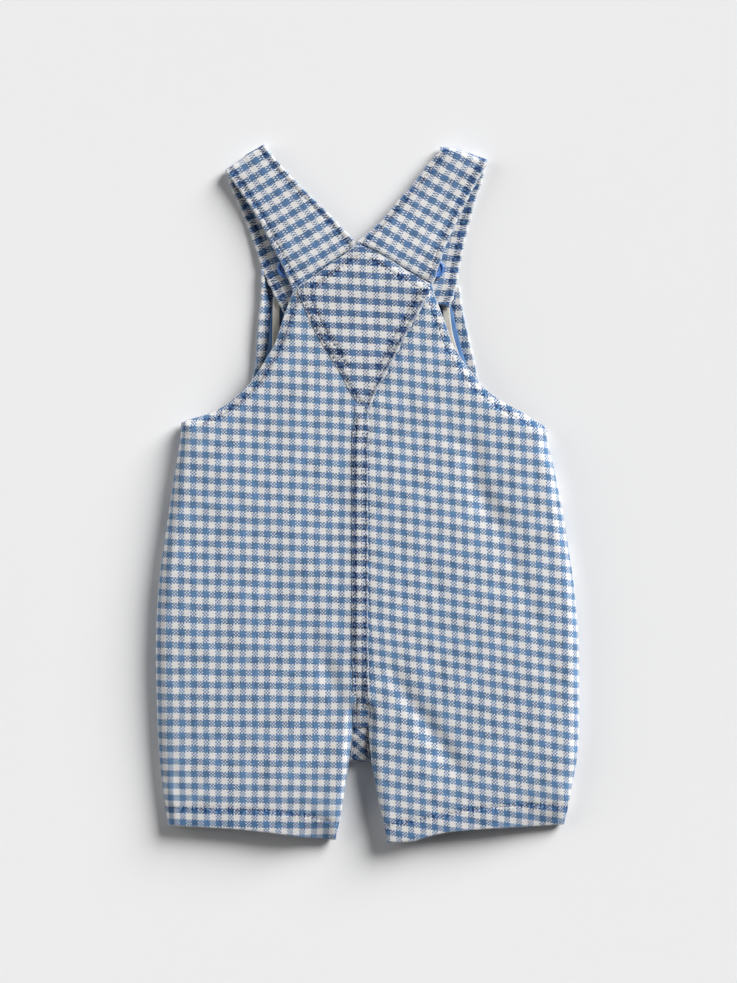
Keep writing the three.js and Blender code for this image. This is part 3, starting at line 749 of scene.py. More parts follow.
class Finishes:
    """Shader groups and materials of the garment and its floor, each built once."""

    def __init__(self) -> None:
        """Builds the shared groups."""
        self.weave = self._weave()
        self.wash_and_shade = self._wash_and_shade()

    @staticmethod
    def _weave() -> ShaderGroup:
        """Checks of light and dark yarns that cross in a fine weave.

        A dark band covers half of each check both ways. Small cells show the yarn across more often than the
        one up, so bands that cross are dark and a lone band is a fine dither of both.
        """
        group = ShaderGroup(
            "woven_checks",
            {
                "Checks": "Vector", "Dark Yarn": "Color", "Light Yarn": "Color",
                "Cells": "Vector", "Lean": "Float",
            },
            {"Color": "Color", "Relief": "Float"},
        )
        n, given = group.nodes, group.given
        drift = n.add("TexNoise", {"Vector": given["Checks"], "Scale": 0.45, "Detail": 3.0}).outputs["Color"]
        wander = n.vector("MULTIPLY_ADD", drift, (0.16, 0.16, 0.0), given["Checks"])
        place = n.vector("SUBTRACT", wander, (0.08, 0.08, 0.0))
        count, small = n.split(place), n.split(n.vector("MULTIPLY", place, given["Cells"]))
        bands, waves = [], []
        for axis in (0, 1):
            off = n.math("ABSOLUTE", n.math("SUBTRACT", n.math("FRACT", n.math("ADD", count[axis], 0.5)), 0.5))
            bands.append(n.ramp(off, 0.236, 0.262, 1.0, 0.0))
            waves.append(n.math("SINE", n.math("MULTIPLY", small[axis], math.pi)))
        crossing = n.math("MULTIPLY", waves[0], waves[1])
        leaning = n.math("ADD", crossing, given["Lean"])
        across = n.ramp(leaning, -0.36, -0.12)
        up = n.ramp(leaning, -0.06, 0.18, 1.0, 0.0)
        dark = n.math("ADD", n.math("MULTIPLY", bands[0], up), n.math("MULTIPLY", bands[1], across), clamp=True)
        slub = n.noise(n.vector("MULTIPLY", given["Checks"], (1.1, 9.0, 1.0)), 1.0, 3.0)
        slub_up = n.noise(n.vector("MULTIPLY", given["Checks"], (9.0, 1.1, 1.0)), 1.0, 3.0)
        patchy = n.noise(given["Checks"], 0.7, 2.0)
        tone = n.math("SUBTRACT", n.math("ADD", n.math("ADD", slub, slub_up), patchy), 1.5)
        shades = []
        for yarn, amount in (("Light Yarn", 0.22), ("Dark Yarn", 1.0)):
            inputs = {0: given[yarn], "Scale": n.math("MULTIPLY_ADD", tone, amount, 1.0)}
            shades.append(n.add("VectorMath", inputs, operation="SCALE").outputs[0])
        n.feed(group.result["Color"], n.blend(dark, *shades))
        n.feed(group.result["Relief"], n.math("ABSOLUTE", crossing))
        return group

    @staticmethod
    def _wash_and_shade() -> ShaderGroup:
        """Marks along a row of stitches, and their dents. The colour near the row is deeper, partly wear from
        washing and partly painted shade in the puckers' hollows, with a slight painted highlight where the
        puckers rise.

        The colour is raised to a power that grows near the row, so blue turns navy and white stays light. The
        mark comes and goes along the row. The doubled cloth of a hem is a little deeper all over.
        """
        group = ShaderGroup(
            "washed_and_shaded_seam",
            {"Seam": "Vector", "Color": "Color", "Reach": "Float", "Depth": "Float"},
            {"Color": "Color", "Relief": "Float"},
        )
        n, given = group.nodes, group.given
        split = n.split(given["Seam"])
        far = n.math("ABSOLUTE", split[0])
        near = n.math("SUBTRACT", 1.0, n.math("DIVIDE", far, given["Reach"]), clamp=True)
        near = n.math("MULTIPLY", near, split[2])
        blots = n.noise(n.vector("MULTIPLY", given["Seam"], (0.5, 0.55, 0.0)), 1.0, 3.0)
        wave = n.math("SINE", n.math("MULTIPLY", split[1], 2.33))
        pucker = n.math("MULTIPLY_ADD", wave, 0.3, n.ramp(blots, 0.34, 0.62, -0.15, 1.0))
        inside = n.math("MULTIPLY", n.ramp(split[0], 0.0, 0.8), n.ramp(split[0], 12.0, 14.0, 1.0, 0.0))
        # Painted shade: the colour darkens near the row, in the puckers' hollows, and turns a little paler
        # where they rise, a painted highlight; partly wear from washing.
        mark = n.math("MULTIPLY_ADD", near, pucker, n.math("MULTIPLY", inside, 0.1))
        power = n.math("MULTIPLY_ADD", mark, given["Depth"], 1.0)
        n.feed(group.result["Color"], n.add("Gamma", {"Color": given["Color"], "Gamma": power}).outputs[0])
        line = n.math("EXPONENT", n.math("MULTIPLY", n.math("MULTIPLY", far, far), -1.4))
        dent = n.math("MULTIPLY", n.math("MULTIPLY", line, split[2]), n.math("MULTIPLY_ADD", wave, 0.3, 0.7))
        ripple = n.math("MULTIPLY", n.math("MULTIPLY", near, wave), 0.07)
        n.feed(group.result["Relief"], n.math("SUBTRACT", ripple, n.math("MULTIPLY", dent, 0.2)))
        return group


@dataclass(frozen=True)
class Finish:
    """A finish with one Principled shader.

    Attributes:
        name: The material's name.
    """

    name: str

    def shader_inputs(self, n: Nodes) -> Inputs:
        """Values and links of the shader's inputs, from nodes that this adds."""
        raise NotImplementedError

    def build(self) -> bpy.types.Material:
        """The material."""
        material = bpy.data.materials.new(self.name)
        material.use_nodes = True
        n = Nodes(material.node_tree)
        n.fill(material.node_tree.nodes["Principled BSDF"], self.shader_inputs(n))
        return material


@dataclass(frozen=True)
class Gingham(Finish):
    """Washed gingham.

    Attributes:
        finishes: The shared groups.
        dark: Colour of the dark yarn.
        light: Colour of the light yarn.
        paling: Colour of the paler rims and folded edges, partly wear and partly a painted highlight.
        depth: How much deeper the colour is in the puckers of a seam, partly wear from washing and partly
            painted shade.
        cells: Cells of weave to a check, across and down.
        lean: How much more the yarns that run across show.
    """

    finishes: Finishes
    dark: Colour = (0.098, 0.196, 0.348)
    light: Colour = (0.70, 0.69, 0.68)
    # Paler colour of rims and folds: partly wear, partly a painted highlight.
    paling: Colour = (0.60, 0.65, 0.72)
    depth: float = 1.05
    cells: tuple[float, float, float] = (8.0, 8.0, 1.0)
    lean: float = 0.0

    def shader_inputs(self, n: Nodes) -> Inputs:
        """Woven checks, deeper along the seams from wear and painted shade, and paler in patches on the rims
        and on the yoke's fold, partly wear and partly a painted highlight.
        """
        grain = n.add("UVMap", uv_map="checks").outputs[0]
        stitched = n.add("Attribute", attribute_name="seam").outputs["Vector"]
        rim = n.add("Attribute", attribute_name="paling").outputs["Fac"]
        weave = self.finishes.weave.put_in(
            n, Checks=grain, Dark_Yarn=self.dark, Light_Yarn=self.light, Cells=self.cells, Lean=self.lean
        ).outputs
        # Deeper colour along the seams: partly wear from washing, partly painted shade in the puckers' hollows.
        wash_and_shade = self.finishes.wash_and_shade.put_in(
            n, Seam=stitched, Color=weave["Color"], Reach=3.1, Depth=self.depth
        ).outputs
        # Paler patches on the rims and the yoke's fold: partly wear, partly a painted highlight.
        wear_and_highlight = n.noise(n.vector("MULTIPLY", grain, (1.7, 1.7, 0.0)), 1.0, 2.0)
        share = n.math("MULTIPLY", n.ramp(wear_and_highlight, 0.3, 0.7, 0.3, 0.95), n.math("MULTIPLY", rim, 0.55))
        height = n.math("MULTIPLY_ADD", weave["Relief"], 0.04, wash_and_shade["Relief"])
        return {
            "Base Color": n.blend(share, wash_and_shade["Color"], self.paling),
            "Normal": n.bump(height, 0.001, 1.0),
            "Roughness": 0.93,
            "Specular IOR Level": 0.2,
            "Sheen Weight": 0.1,
        }


@dataclass(frozen=True)
class PlainCloth(Finish):
    """Plain woven cloth or tape of one colour.

    Attributes:
        colour: Colour of its yarns.
        pale: Colour where it is worn.
        threads: Threads to a metre.
    """

    colour: Colour
    pale: Colour
    threads: float = 2600.0

    def shader_inputs(self, n: Nodes) -> Inputs:
        """Two crossed waves for the weave, and noise for slubs and wear."""
        place = n.add("TexCoord").outputs["Object"]
        turns = self.threads * math.pi
        waves = [n.math("SINE", n.math("MULTIPLY", axis, turns)) for axis in n.split(place)[:2]]
        cross = n.math("MULTIPLY", *waves)
        paling = n.noise(place, 160.0, 4.0)
        slub = n.noise(n.vector("MULTIPLY", place, (1400.0, 160.0, 160.0)), 1.0, 2.0)
        share = n.math("MULTIPLY_ADD", cross, 0.18, n.ramp(n.math("MULTIPLY_ADD", slub, 0.5, paling), 0.5, 1.05))
        return {
            "Base Color": n.blend(share, self.colour, self.pale),
            "Normal": n.bump(cross, 0.0001, 0.7),
            "Roughness": 0.9,
            "Specular IOR Level": 0.2,
            "Sheen Weight": 0.1,
        }


@dataclass(frozen=True)
class SewingThread(Finish):
    """Twisted sewing thread, deep blue and faded in places."""

    name: str = "sewing_thread"
    colour: Colour = (0.03, 0.055, 0.14)
    pale: Colour = (0.16, 0.24, 0.42)

    def shader_inputs(self, n: Nodes) -> Inputs:
        """Fine noise between the two colours."""
        share = n.ramp(n.noise(n.add("TexCoord").outputs["Object"], 900.0, 2.0), 0.35, 0.7)
        return {"Base Color": n.blend(share, self.colour, self.pale), "Roughness": 0.7}


@dataclass(frozen=True)
class ButtonPlastic(Finish):
    """Moulded plastic with faint swirls in its colour."""

    name: str = "button_plastic"
    colour: Colour = (0.055, 0.16, 0.48)
    pale: Colour = (0.14, 0.30, 0.66)

    def shader_inputs(self, n: Nodes) -> Inputs:
        """Soft swirls of two blues under a soft gloss."""
        place = n.add("TexCoord").outputs["Object"]
        swirl = n.noise(n.vector("MULTIPLY", place, (220.0, 600.0, 300.0)), 1.0, 4.0)
        gloss = n.ramp(n.noise(place, 1500.0, 3.0), 0.3, 0.7, 0.26, 0.4)
        return {"Base Color": n.blend(n.ramp(swirl, 0.35, 0.7), self.colour, self.pale), "Roughness": gloss}


@dataclass(frozen=True)
class PaleFloor(Finish):
    """Plain pale studio floor."""

    name: str = "pale_floor"
    colour: Colour = (0.845, 0.845, 0.85)
    other: Colour = (0.86, 0.86, 0.862)

    def shader_inputs(self, n: Nodes) -> Inputs:
        """Two pales in wide soft noise."""
        mottle = n.noise(n.add("TexCoord").outputs["Object"], 3.0, 2.0)
        base = n.blend(mottle, self.colour, self.other)
        return {"Base Color": base, "Roughness": 0.9, "Specular IOR Level": 0.0}


@dataclass(frozen=True)
class Panel:
    """One half of the body, as cut.

    Attributes:
        side: Its side.
        edge: Table of the outer edge: y, x, lift, roll, soft.
        hem: Table of the hem: part of the way to the inner seam, and its drop.
        checks: How the checks run on its back.
        hem_line: Row of stitches above the hem.
    """

    side: Side
    edge: Chart
    hem: Chart
    checks: CheckGrid
    hem_line: Chart


CROWN = Chart(("y", "height"), (
    (-209, 12), (-195, 12.6), (-175, 13.5), (-150, 14.5), (-110, 15.6),
    (-60, 16.4), (0, 16.2), (40, 15.4), (80, 14.8), (120, 14.2), (150, 13.4),
))
EDGE_NAMES = ("y", "x", "lift", "roll", "soft")
LEFT_EDGE = Chart(EDGE_NAMES, (
    (-199.2, -119.8, 4, 7, 0), (-184.5, -122, 4, 7, 0), (-160.5, -124.8, 4, 8, 0),
    (-124.5, -126.6, 4, 8, 0), (-94.5, -127.2, 4, 8, 0), (-58.5, -125.6, 4, 8, 0),
    (-34.5, -122.8, 4, 8, 0), (-10.5, -119.2, 4, 8, 0), (13.5, -115.6, 4, 8, 0),
    (30, -112.8, 4, 8, 0), (42.4, -110.8, 4.2, 7, 0), (45.8, -100.5, 6.6, 7, 0.3),
    (49.2, -90.9, 8.6, 7, 0.6), (53.7, -83.7, 10, 7, 0.8), (59.9, -76.5, 11, 6, 0.9),
    (66.3, -69.9, 11.6, 6, 1), (74.1, -64.5, 11.9, 6, 1), (81.9, -59.7, 12.1, 6, 1),
    (89.1, -55.5, 12.2, 6, 1), (98.1, -52.5, 12.3, 6, 1), (107.1, -49.5, 12.4, 6, 1),
    (116.7, -45.9, 12.4, 6, 1), (121.2, -44.1, 12.5, 6, 1), (128.1, -34.5, 12.6, 6, 1),
    (138.3, -20.1, 12.8, 6, 1), (143.7, -12.3, 12.9, 6, 1), (149, -6.3, 13, 6, 1),
))
RIGHT_EDGE = Chart(EDGE_NAMES, (
    (-199.2, 117.9, 4, 7, 0), (-190.5, 120.3, 4, 7, 0), (-178.5, 122.4, 4, 8, 0),
    (-154.5, 126.4, 4, 8, 0), (-124.5, 127.2, 4, 8, 0), (-94.5, 126.9, 4, 8, 0),
    (-58.5, 124.4, 4, 8, 0), (-34.5, 120.9, 4, 8, 0), (-10.5, 117, 4, 8, 0),
    (13.5, 112.2, 4, 8, 0), (30, 108.4, 4, 8, 0), (39.3, 106.5, 4, 8, 0),
    (44.2, 99.3, 6.6, 7, 0.3), (49.2, 90.9, 8.6, 7, 0.6), (55.4, 79.5, 10.2, 7, 0.8),
    (63.9, 68.7, 11.4, 6, 1), (72.9, 61.5, 11.9, 6, 1), (81.3, 55.5, 12.1, 6, 1),
    (89.7, 50.7, 12.2, 6, 1), (99.9, 47.1, 12.3, 6, 1), (109.5, 43.5, 12.4, 6, 1),
    (115.5, 41.1, 12.4, 6, 1), (124.5, 38.1, 12.5, 6, 1), (126.9, 34, 12.5, 6, 1),
    (133.5, 22.5, 12.7, 6, 1), (140.7, 11.1, 12.8, 6, 1), (149, -6.3, 13, 6, 1),
))
CENTRE_NAMES = ("y", "centre", "half", "pull", "soft")
LEG_GAP = (
    (-208.8, -3.6, 15.7, 1, 0), (-196.5, -3.6, 13, 1, 0),
    (-184.5, -3.9, 10.5, 1, 0), (-172.5, -4.1, 8.6, 1, 0),
)
BACK_CENTRE = Chart(CENTRE_NAMES, (
    *LEG_GAP, (-161.7, -4.3, 6.8, 0.95, 0), (-154.5, -4.4, 6, 0.85, 0.2), (-145.5, -4.3, 5.1, 0.7, 0.5),
    (-136, -4.1, 4.7, 0.52, 0.8), (-131, -4, 4.4, 0.42, 1), (-126, -4, 0.15, 0.33, 1),
    (-115, -4.2, 0.15, 0.2, 1), (-100, -4.5, 0.15, 0.08, 1), (-80, -4.7, 0.15, 0, 1), (25, -4.8, 0.15, 0, 1),
    (48, -3.6, 0.15, 0, 1), (149, -6.3, 0.15, 0, 1),
))
FRONT_CENTRE = Chart(CENTRE_NAMES, (
    *LEG_GAP, (-161.7, -4.3, 6.8, 0.9, 0), (-154.5, -4.4, 6, 0.5, 0.3), (-149.5, -4.4, 5.4, 0.1, 1),
    (-145.5, -4.4, 0.15, 0, 1), (36, -4.4, 0.15, 0, 1),
))
HEM_NAMES = ("part", "drop")
LEFT_HEM = Chart(HEM_NAMES, ((0, 0), (0.2, 0.9), (0.4, 2.2), (0.6, 4.2), (0.8, 7), (0.92, 8.3), (1, 8.7)))
RIGHT_HEM = Chart(HEM_NAMES, (
    (0, 0), (0.2, 0.9), (0.4, 1.7), (0.55, 2.8), (0.66, 4), (0.77, 6.6), (0.88, 9.6), (1, 9.9),
))
HEM_CORNER = -199.2
CROTCH = -161.7
YOKE_CORNER = 121.2
YOKE_TIP = 147.2
YOKE_EDGE = Chart(("y", "left", "right"), (
    (48.6, -0.8, 0.8), (51.3, -2.9, 1.8), (58.5, -9.3, 4.6), (72.3, -16.5, 12), (89.7, -27.3, 20.8),
    (103.5, -34.5, 28.3), (110, -37.4, 32.2), (116, -39.4, 35.2), (121.2, -41.4, 36.8), (126.5, -35.8, 33.6),
    (133.5, -26.4, 21.4), (140.7, -15.8, 9.8), (144.5, -10.5, 3.4), (147.2, -7.2, -2.2),
))


def yoke_side(side: Side) -> Chart:
    """One side of the yoke's kite, from its lowest point to its top."""
    return path_of(YOKE_EDGE.column(side.name.lower()), YOKE_EDGE.column("y"))


YOKE_TOP = {side: Chart(("x", "y"), yoke_side(side).rows[8:]) for side in Side}

LEFT_CHECKS = CheckGrid(
    columns=Chart(("y", "first", "last"), (
        (115.5, -111.7, -22.8), (25.5, -111.7, -22.8), (-64.5, -111.5, -22.9), (-154.5, -111, -24),
    )),
    rows=Chart(("row", "first", "last"), (
        (-21, 149.7, 144), (-8, 52.8, 47.1), (-6, 38.4, 32.7), (0, -7.1, -12.3), (3, -29.9, -34.1),
        (8, -68.1, -71.4), (12, -99.3, -101.1), (16, -130.2, -131.4), (20, -161.1, -162.9),
        (25, -197.7, -199.5), (27, -213.3, -214.2),
    )),
    first=-2,
    last=10,
)
RIGHT_CHECKS = CheckGrid(
    columns=Chart(("y", "first", "last"), (
        (58.5, 5.1, 107.1), (22.5, 6.3, 108.3), (-4.5, 6.9, 108.9), (-37.5, 7.2, 110.1), (-76.5, 7.7, 110.7),
        (-103.5, 9.3, 110.9), (-124.5, 10.8, 111.3), (-154.5, 11.1, 111.9), (-184.5, 11.1, 112.5),
    )),
    rows=Chart(("row", "first", "last"), (
        (-13, 149.1, 137.1), (0, 52.5, 39.9), (4, 22.5, 9), (8, -7.2, -21.6), (13, -44.1, -60.3),
        (18, -81.6, -98.1), (21, -103.5, -120.6), (24, -127.2, -144.3), (28, -158.4, -174.9),
        (31, -181.8, -196.8), (34, -203.1, -218.7),
    )),
    first=0,
    last=14,
)
YOKE_CHECKS = CheckLattice(light=(-14.4, 142.2), across=(7.53, -0.45), down=(0.24, -7.77))
GUSSET_CHECKS = CheckLattice(light=(-2.6, -142.6), across=(5, -4.2), down=(-5, -4.2))
FRONT_CHECKS = CheckLattice(light=(-4.4, -20), across=(7.4, 0.1), down=(0, -7.45))
LEFT_STRAP_CHECKS = CheckLattice(light=(-66.3, 203.7), across=(6.3, 3.6), down=(4.5, -6.24))
RIGHT_STRAP_CHECKS = CheckLattice(light=(58.5, 203.1), across=(6.42, -3.66), down=(-3.66, -6.6))

PANELS = {
    Side.LEFT: Panel(
        Side.LEFT, LEFT_EDGE, LEFT_HEM, LEFT_CHECKS,
        Chart(("x", "y"), (
            (-122, -189), (-119.7, -189.3), (-82.5, -189.9), (-58.5, -191.1), (-34.5, -194.1),
            (-25.5, -196.5), (-17, -198.6),
        )),
    ),
    Side.RIGHT: Panel(
        Side.RIGHT, RIGHT_EDGE, RIGHT_HEM, RIGHT_CHECKS,
        Chart(("x", "y"), (
            (12.5, -200), (16.5, -197.7), (31.5, -195.9), (43.5, -193.5), (55.5, -191.1), (67.5, -189.3),
            (79.5, -188.1), (97.5, -187.5), (115.5, -188.1), (121, -188.7),
        )),
    ),
}

CREASES = (
    (
        (46.5, 43.5, 0, 7), (60.9, 25.5, 1.2, 7), (65.1, 0, 1.3, 7), (80.1, -20.7, 1, 8), (79.5, -64.5, 0, 8),
    ),
    (
        (11.1, -104.1, 0, 6), (30.3, -129.3, 1.3, 6), (39.3, -144.3, 1.5, 7), (47.1, -158.7, 1.2, 6),
        (57.3, -171.9, 0, 6),
    ),
    (
        (-34, -84, 0, 5), (-27, -101, 0.9, 5), (-18, -121, 0.8, 5), (-14, -150, 0, 5),
    ),
    (
        (58, 62, 0, 4), (63, 38, 0.5, 4.5), (66, 10, 0.55, 4.5), (72, -10, 0.5, 5),
        (84, -35, 0.6, 5), (95, -60, 0.6, 5), (104, -88, 0.5, 5), (110, -115, 0.35, 5),
        (111.5, -150, 0, 5),
    ),
    (
        (9, -92, 0, 3.5), (14, -106, 0.5, 3.5), (21, -120, 0.55, 4), (33, -137, 0.5, 4),
        (45, -152, 0.5, 4), (54, -166, 0.5, 4), (66, -180, 0, 4),
    ),
    (
        (33, -40, 0, 4), (39, -52, 0.35, 4), (45, -64, 0.3, 4), (50, -78, 0, 4),
    ),
    (
        (-22, -82, 0, 4.5), (-22.5, -100, 0.45, 4.5), (-23.5, -130, 0.5, 5), (-24.5, -160, 0.3, 5),
        (-26, -185, 0, 5),
    ),
    (
        (-120, -130, 0, 3), (-117.5, -150, 0.35, 3), (-114.5, -175, 0.4, 3), (-113, -192, 0, 3),
    ),
    (
        (-106, -136, 0, 3), (-105.5, -158, 0.3, 3.5), (-104, -180, 0, 3.5),
    ),
    (
        (-17, -45, 0, 3.5), (-18, -58, 0.4, 3.5), (-19.5, -75, 0.3, 3.5), (-20, -88, 0, 3.5),
    ),
    (
        (8, 30, 0, 3), (9.5, 0, 0.25, 3), (9, -40, 0.25, 3), (10, -70, 0, 3),
    ),
    (
        (-70, 20, 0, 9), (-66, -20, 0.4, 9), (-58, -60, 0.3, 9), (-55, -90, 0, 9),
    ),
    (
        (-92, -10, 0, 8), (-90, -60, 0.35, 8), (-92, -110, 0.3, 8), (-94, -140, 0, 8),
    ),
    (
        (84, -120, 0, 7), (86, -150, 0.35, 7), (92, -180, 0, 7),
    ),
)
HEM_DIPS = ((114, -209, 5.6, 26, 18), (-26, -214, 6, 15, 15))


@dataclass(frozen=True)
class BodyForm:
    """Form of the laid-out body, shared by every piece that lies on its back or its front.

    Attributes:
        inner_height: Height of the inner leg seams.
        inner_rise: How much higher the right leg's seam stands, away from the crotch.
        rise: Height along the body where that starts, and the length that it takes.
        front_roll: How far in the front is turned up to meet them.
        inner_roll: How far in the back is rounded at the inner leg seams.
        widest_roll: Largest share of a panel's width that a roll takes.
        half_width: Half the width of the body.
        side_fall: How much lower the crown is at the sides.
    """

    inner_height: float = 7.0
    inner_rise: float = 3.6
    rise: tuple[float, float] = (-133.0, 16.0)
    front_roll: float = 5.0
    inner_roll: float = 5.5
    widest_roll: float = 0.35
    half_width: float = 127.0
    side_fall: float = 3.0

    def outer_path(self, panel: Panel) -> Chart:
        """The panel's outer edge with a full pull down to its height."""
        edge = panel.edge.refined("y", 3.0)
        return Chart(edge.names + ("pull",), tuple(row + (1.0,) for row in edge.rows))

    def inner_path(self, panel: Panel, centre: Chart) -> Chart:
        """The panel's inner edge as a path.

        Args:
            panel: The panel.
            centre: Table of the back's or the front's centre.

        Returns:
            Table with the columns that the height needs.
        """
        higher = self.inner_rise if panel.side is Side.RIGHT else 0.0
        start, length = self.rise
        return Chart(("x", "y", "lift", "roll", "pull", "soft"), tuple(
            (x + panel.side.value * half, y,
             self.inner_height + higher * min(max((start - y) / length, 0.0), 1.0), self.inner_roll, pull, soft)
            for y, x, half, pull, soft in centre.refined("y", 3.0).rows
        ))

    def inner_edge(self, panel: Panel, centre: Chart, y: Floats) -> Floats:
        """x of a panel's inner edge at each height along the body."""
        return centre.at("y", y, "centre") + panel.side.value * centre.at("y", y, "half")

    def crease_depth(self, x: Floats, y: Floats) -> Floats:
        """Depth of all creases: the sum of a bell across each one, by its depth and half width there."""
        total = np.zeros(x.shape)
        for rows in CREASES:
            crease = Chart(("x", "y", "depth", "width"), rows)
            near = nearest_on(crease, x, y)
            total += near["depth"] * np.exp(-((near["distance"] / near["width"]) ** 2))
        return total

    def slack(self, x: Floats, y: Floats) -> Floats:
        """Slight unevenness of cloth that lies loose: three crossed slow waves."""
        first = np.sin(x * 0.071 + 1.3 * np.sin(y * 0.023)) * np.cos(y * 0.045 + 0.6)
        second = np.sin(x * 0.13 - y * 0.06 + 0.8) * np.cos(y * 0.085 + x * 0.02)
        third = np.sin(x * 0.21 + y * 0.11) * np.sin(y * 0.17 - 0.4)
        return 0.22 * first + 0.13 * second + 0.06 * third

    def back_height(self, panel: Panel, x: Floats, y: Floats) -> Floats:
        """Height of the back's outer face.

        Formula: a crown that falls with the square of x, dented by the creases, then pulled down to each
        edge's height by 1 minus the rounding there.

        Args:
            panel: The panel.
            x: Places across.
            y: Places along.

        Returns:
            The heights.
        """
        z = CROWN.at("y", y, "height") - self.side_fall * (x / self.half_width) ** 2
        z = z - self.crease_depth(x, y) + self.slack(x, y)
        for low_x, low_y, depth, wide, long in HEM_DIPS:
            z = z - depth * np.exp(-(((x - low_x) / wide) ** 2) - ((y - low_y) / long) ** 2)
        for path in (self.outer_path(panel), self.inner_path(panel, BACK_CENTRE)):
            near = nearest_on(path, x, y)
            fall = 1 - rounding(near["distance"], near["roll"], near["soft"])
            z = z + (near["lift"] - z) * near["pull"] * fall
        return z

    def front_height(self, panel: Panel, x: Floats, y: Floats) -> Floats:
        """Height of the front's lower face.

        Formula: flat on the surface, and turned up to each seam by 1 minus the rounding there.

        Args:
            panel: The panel.
            x: Places across.
            y: Places along.

        Returns:
            The heights.
        """
        z = np.zeros(x.shape)
        for path in (self.outer_path(panel), self.inner_path(panel, FRONT_CENTRE)):
            near = nearest_on(path, x, y)
            fall = 1 - rounding(near["distance"], self.front_roll, near["soft"])
            z = np.maximum(z, (near["lift"] - SEAM_GAP) * near["pull"] * fall)
        return z

    def on_back(self, x: Floats, y: Floats) -> Floats:
        """Points on the back, each on the panel at its side of the centre seam."""
        left = self.back_height(PANELS[Side.LEFT], x, y)
        right = self.back_height(PANELS[Side.RIGHT], x, y)
        return np.stack([x, y, np.where(x < BACK_CENTRE.at("y", y, "centre"), left, right)], axis=-1)

    def panel_places(
        self,
        panel: Panel,
        centre: Chart,
        heights: Floats,
        counts: tuple[int, int, int],
        rolls: tuple[float, float],
    ) -> tuple[Floats, Floats]:
        """Places of a panel's grid, closer together where its edges are round.

        Formula: in a roll the columns lie at 1 minus the cosine of even steps up to a right angle, and the
        rest are even between. Below the crotch the rows fan out from the hem.

        Args:
            panel: The panel.
            centre: Table of the back's or the front's centre.
            heights: Height along the body of each row, from the hem's outer corner up.
            counts: Number of columns in the outer roll, the middle and the inner roll.
            rolls: Width of the outer and the inner roll.

        Returns:
            x and y of each point.
        """
        outer = panel.edge.at("y", heights, "x")
        inner = self.inner_edge(panel, centre, heights)
        width = np.abs(inner - outer)
        bevel = np.where(panel.edge.at("y", heights, "soft") > 0.02, 0.5, 0.0)
        steps, back_steps = (1 - np.cos(np.linspace(0.06, np.pi / 2, counts[end])) for end in (0, 2))
        outer_roll, inner_roll = (np.minimum(roll, self.widest_roll * width)[:, None] for roll in rolls)
        first = outer_roll * steps + (bevel * (width > 4))[:, None] * (1 - steps)
        last = width[:, None] - inner_roll * back_steps[::-1]
        share = np.linspace(0, 1, counts[1] + 2)[1:-1]
        middle = first[:, -1:] + (last[:, :1] - first[:, -1:]) * share
        part = np.concatenate([first, middle, last], axis=1) / np.maximum(width, 1e-6)[:, None]
        hem = HEM_CORNER - panel.hem.at("part", np.clip(part, 0, 1), "drop")
        rise = (heights[:, None] - HEM_CORNER) / (CROTCH - HEM_CORNER)
        y = np.where(heights[:, None] < CROTCH, hem + (CROTCH - hem) * rise, heights[:, None])
        outer = panel.edge.at("y", y, "x")
        return outer + (self.inner_edge(panel, centre, y) - outer) * part, y

    def sewn_path(self, path: Chart, lift: float) -> tuple[Floats, Floats]:
        """A path seen from above, laid on the back.

        Args:
            path: Table with columns x and y.
            lift: Height above the back's outer face.

        Returns:
            Points about 1 mm apart, and the back's normals there.
        """
        x, y = evenly(path)
        points = self.on_back(x, y)
        east = self.on_back(x + 0.5, y)[..., 2] - self.on_back(x - 0.5, y)[..., 2]
        north = self.on_back(x, y + 0.5)[..., 2] - self.on_back(x, y - 0.5)[..., 2]
        normal = unit(np.stack([-east, -north, np.ones(len(x))], axis=-1))
        return points + normal * lift, normal


def evenly(path: Chart) -> tuple[Floats, Floats]:
    """Points about 1 mm apart along a path of straight steps."""
    points = np.stack([path.column("x"), path.column("y")], axis=1)
    length = run_length(points)
    x, y = read_along(np.linspace(0, length[-1], max(int(length[-1]), 2)), length, points).T
    return x, y


@dataclass(frozen=True)
class Cloths:
    """The garment's finished materials."""

    body: bpy.types.Material
    doubled: bpy.types.Material
    strap: bpy.types.Material
    chambray: bpy.types.Material
    tape: bpy.types.Material
    thread: bpy.types.Material
    plastic: bpy.types.Material


def sew_rows(name: str, rows: list[tuple[Floats, Floats]], thread: Thread, cloths: Cloths) -> bpy.types.Object:
    """Puts rows of stitches in the scene as one piece.

    Args:
        name: Name of the piece.
        rows: Points and normals of each row.
        thread: Size of the stitches.
        cloths: The materials.

    Returns:
        The piece.
    """
    piece = put_in_scene(name, joined([thread.sew(path, normal) for path, normal in rows]), cloths.thread)
    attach(piece, "root")
    return piece


@dataclass
class Assembly:
    """Part of the garment with its own pieces and stitches.

    Attributes:
        form: The body's form.
        cloths: The materials.
        thread: Size of its stitches.
    """

    form: BodyForm
    cloths: Cloths
    thread: Thread = field(default_factory=Thread, kw_only=True)

    def stitch(self, name: str, rows: list[tuple[Floats, Floats]]) -> bpy.types.Object:
        """Stitches of a piece, from the points and normals of each row."""
        return sew_rows(name + "_stitches", rows, self.thread, self.cloths)


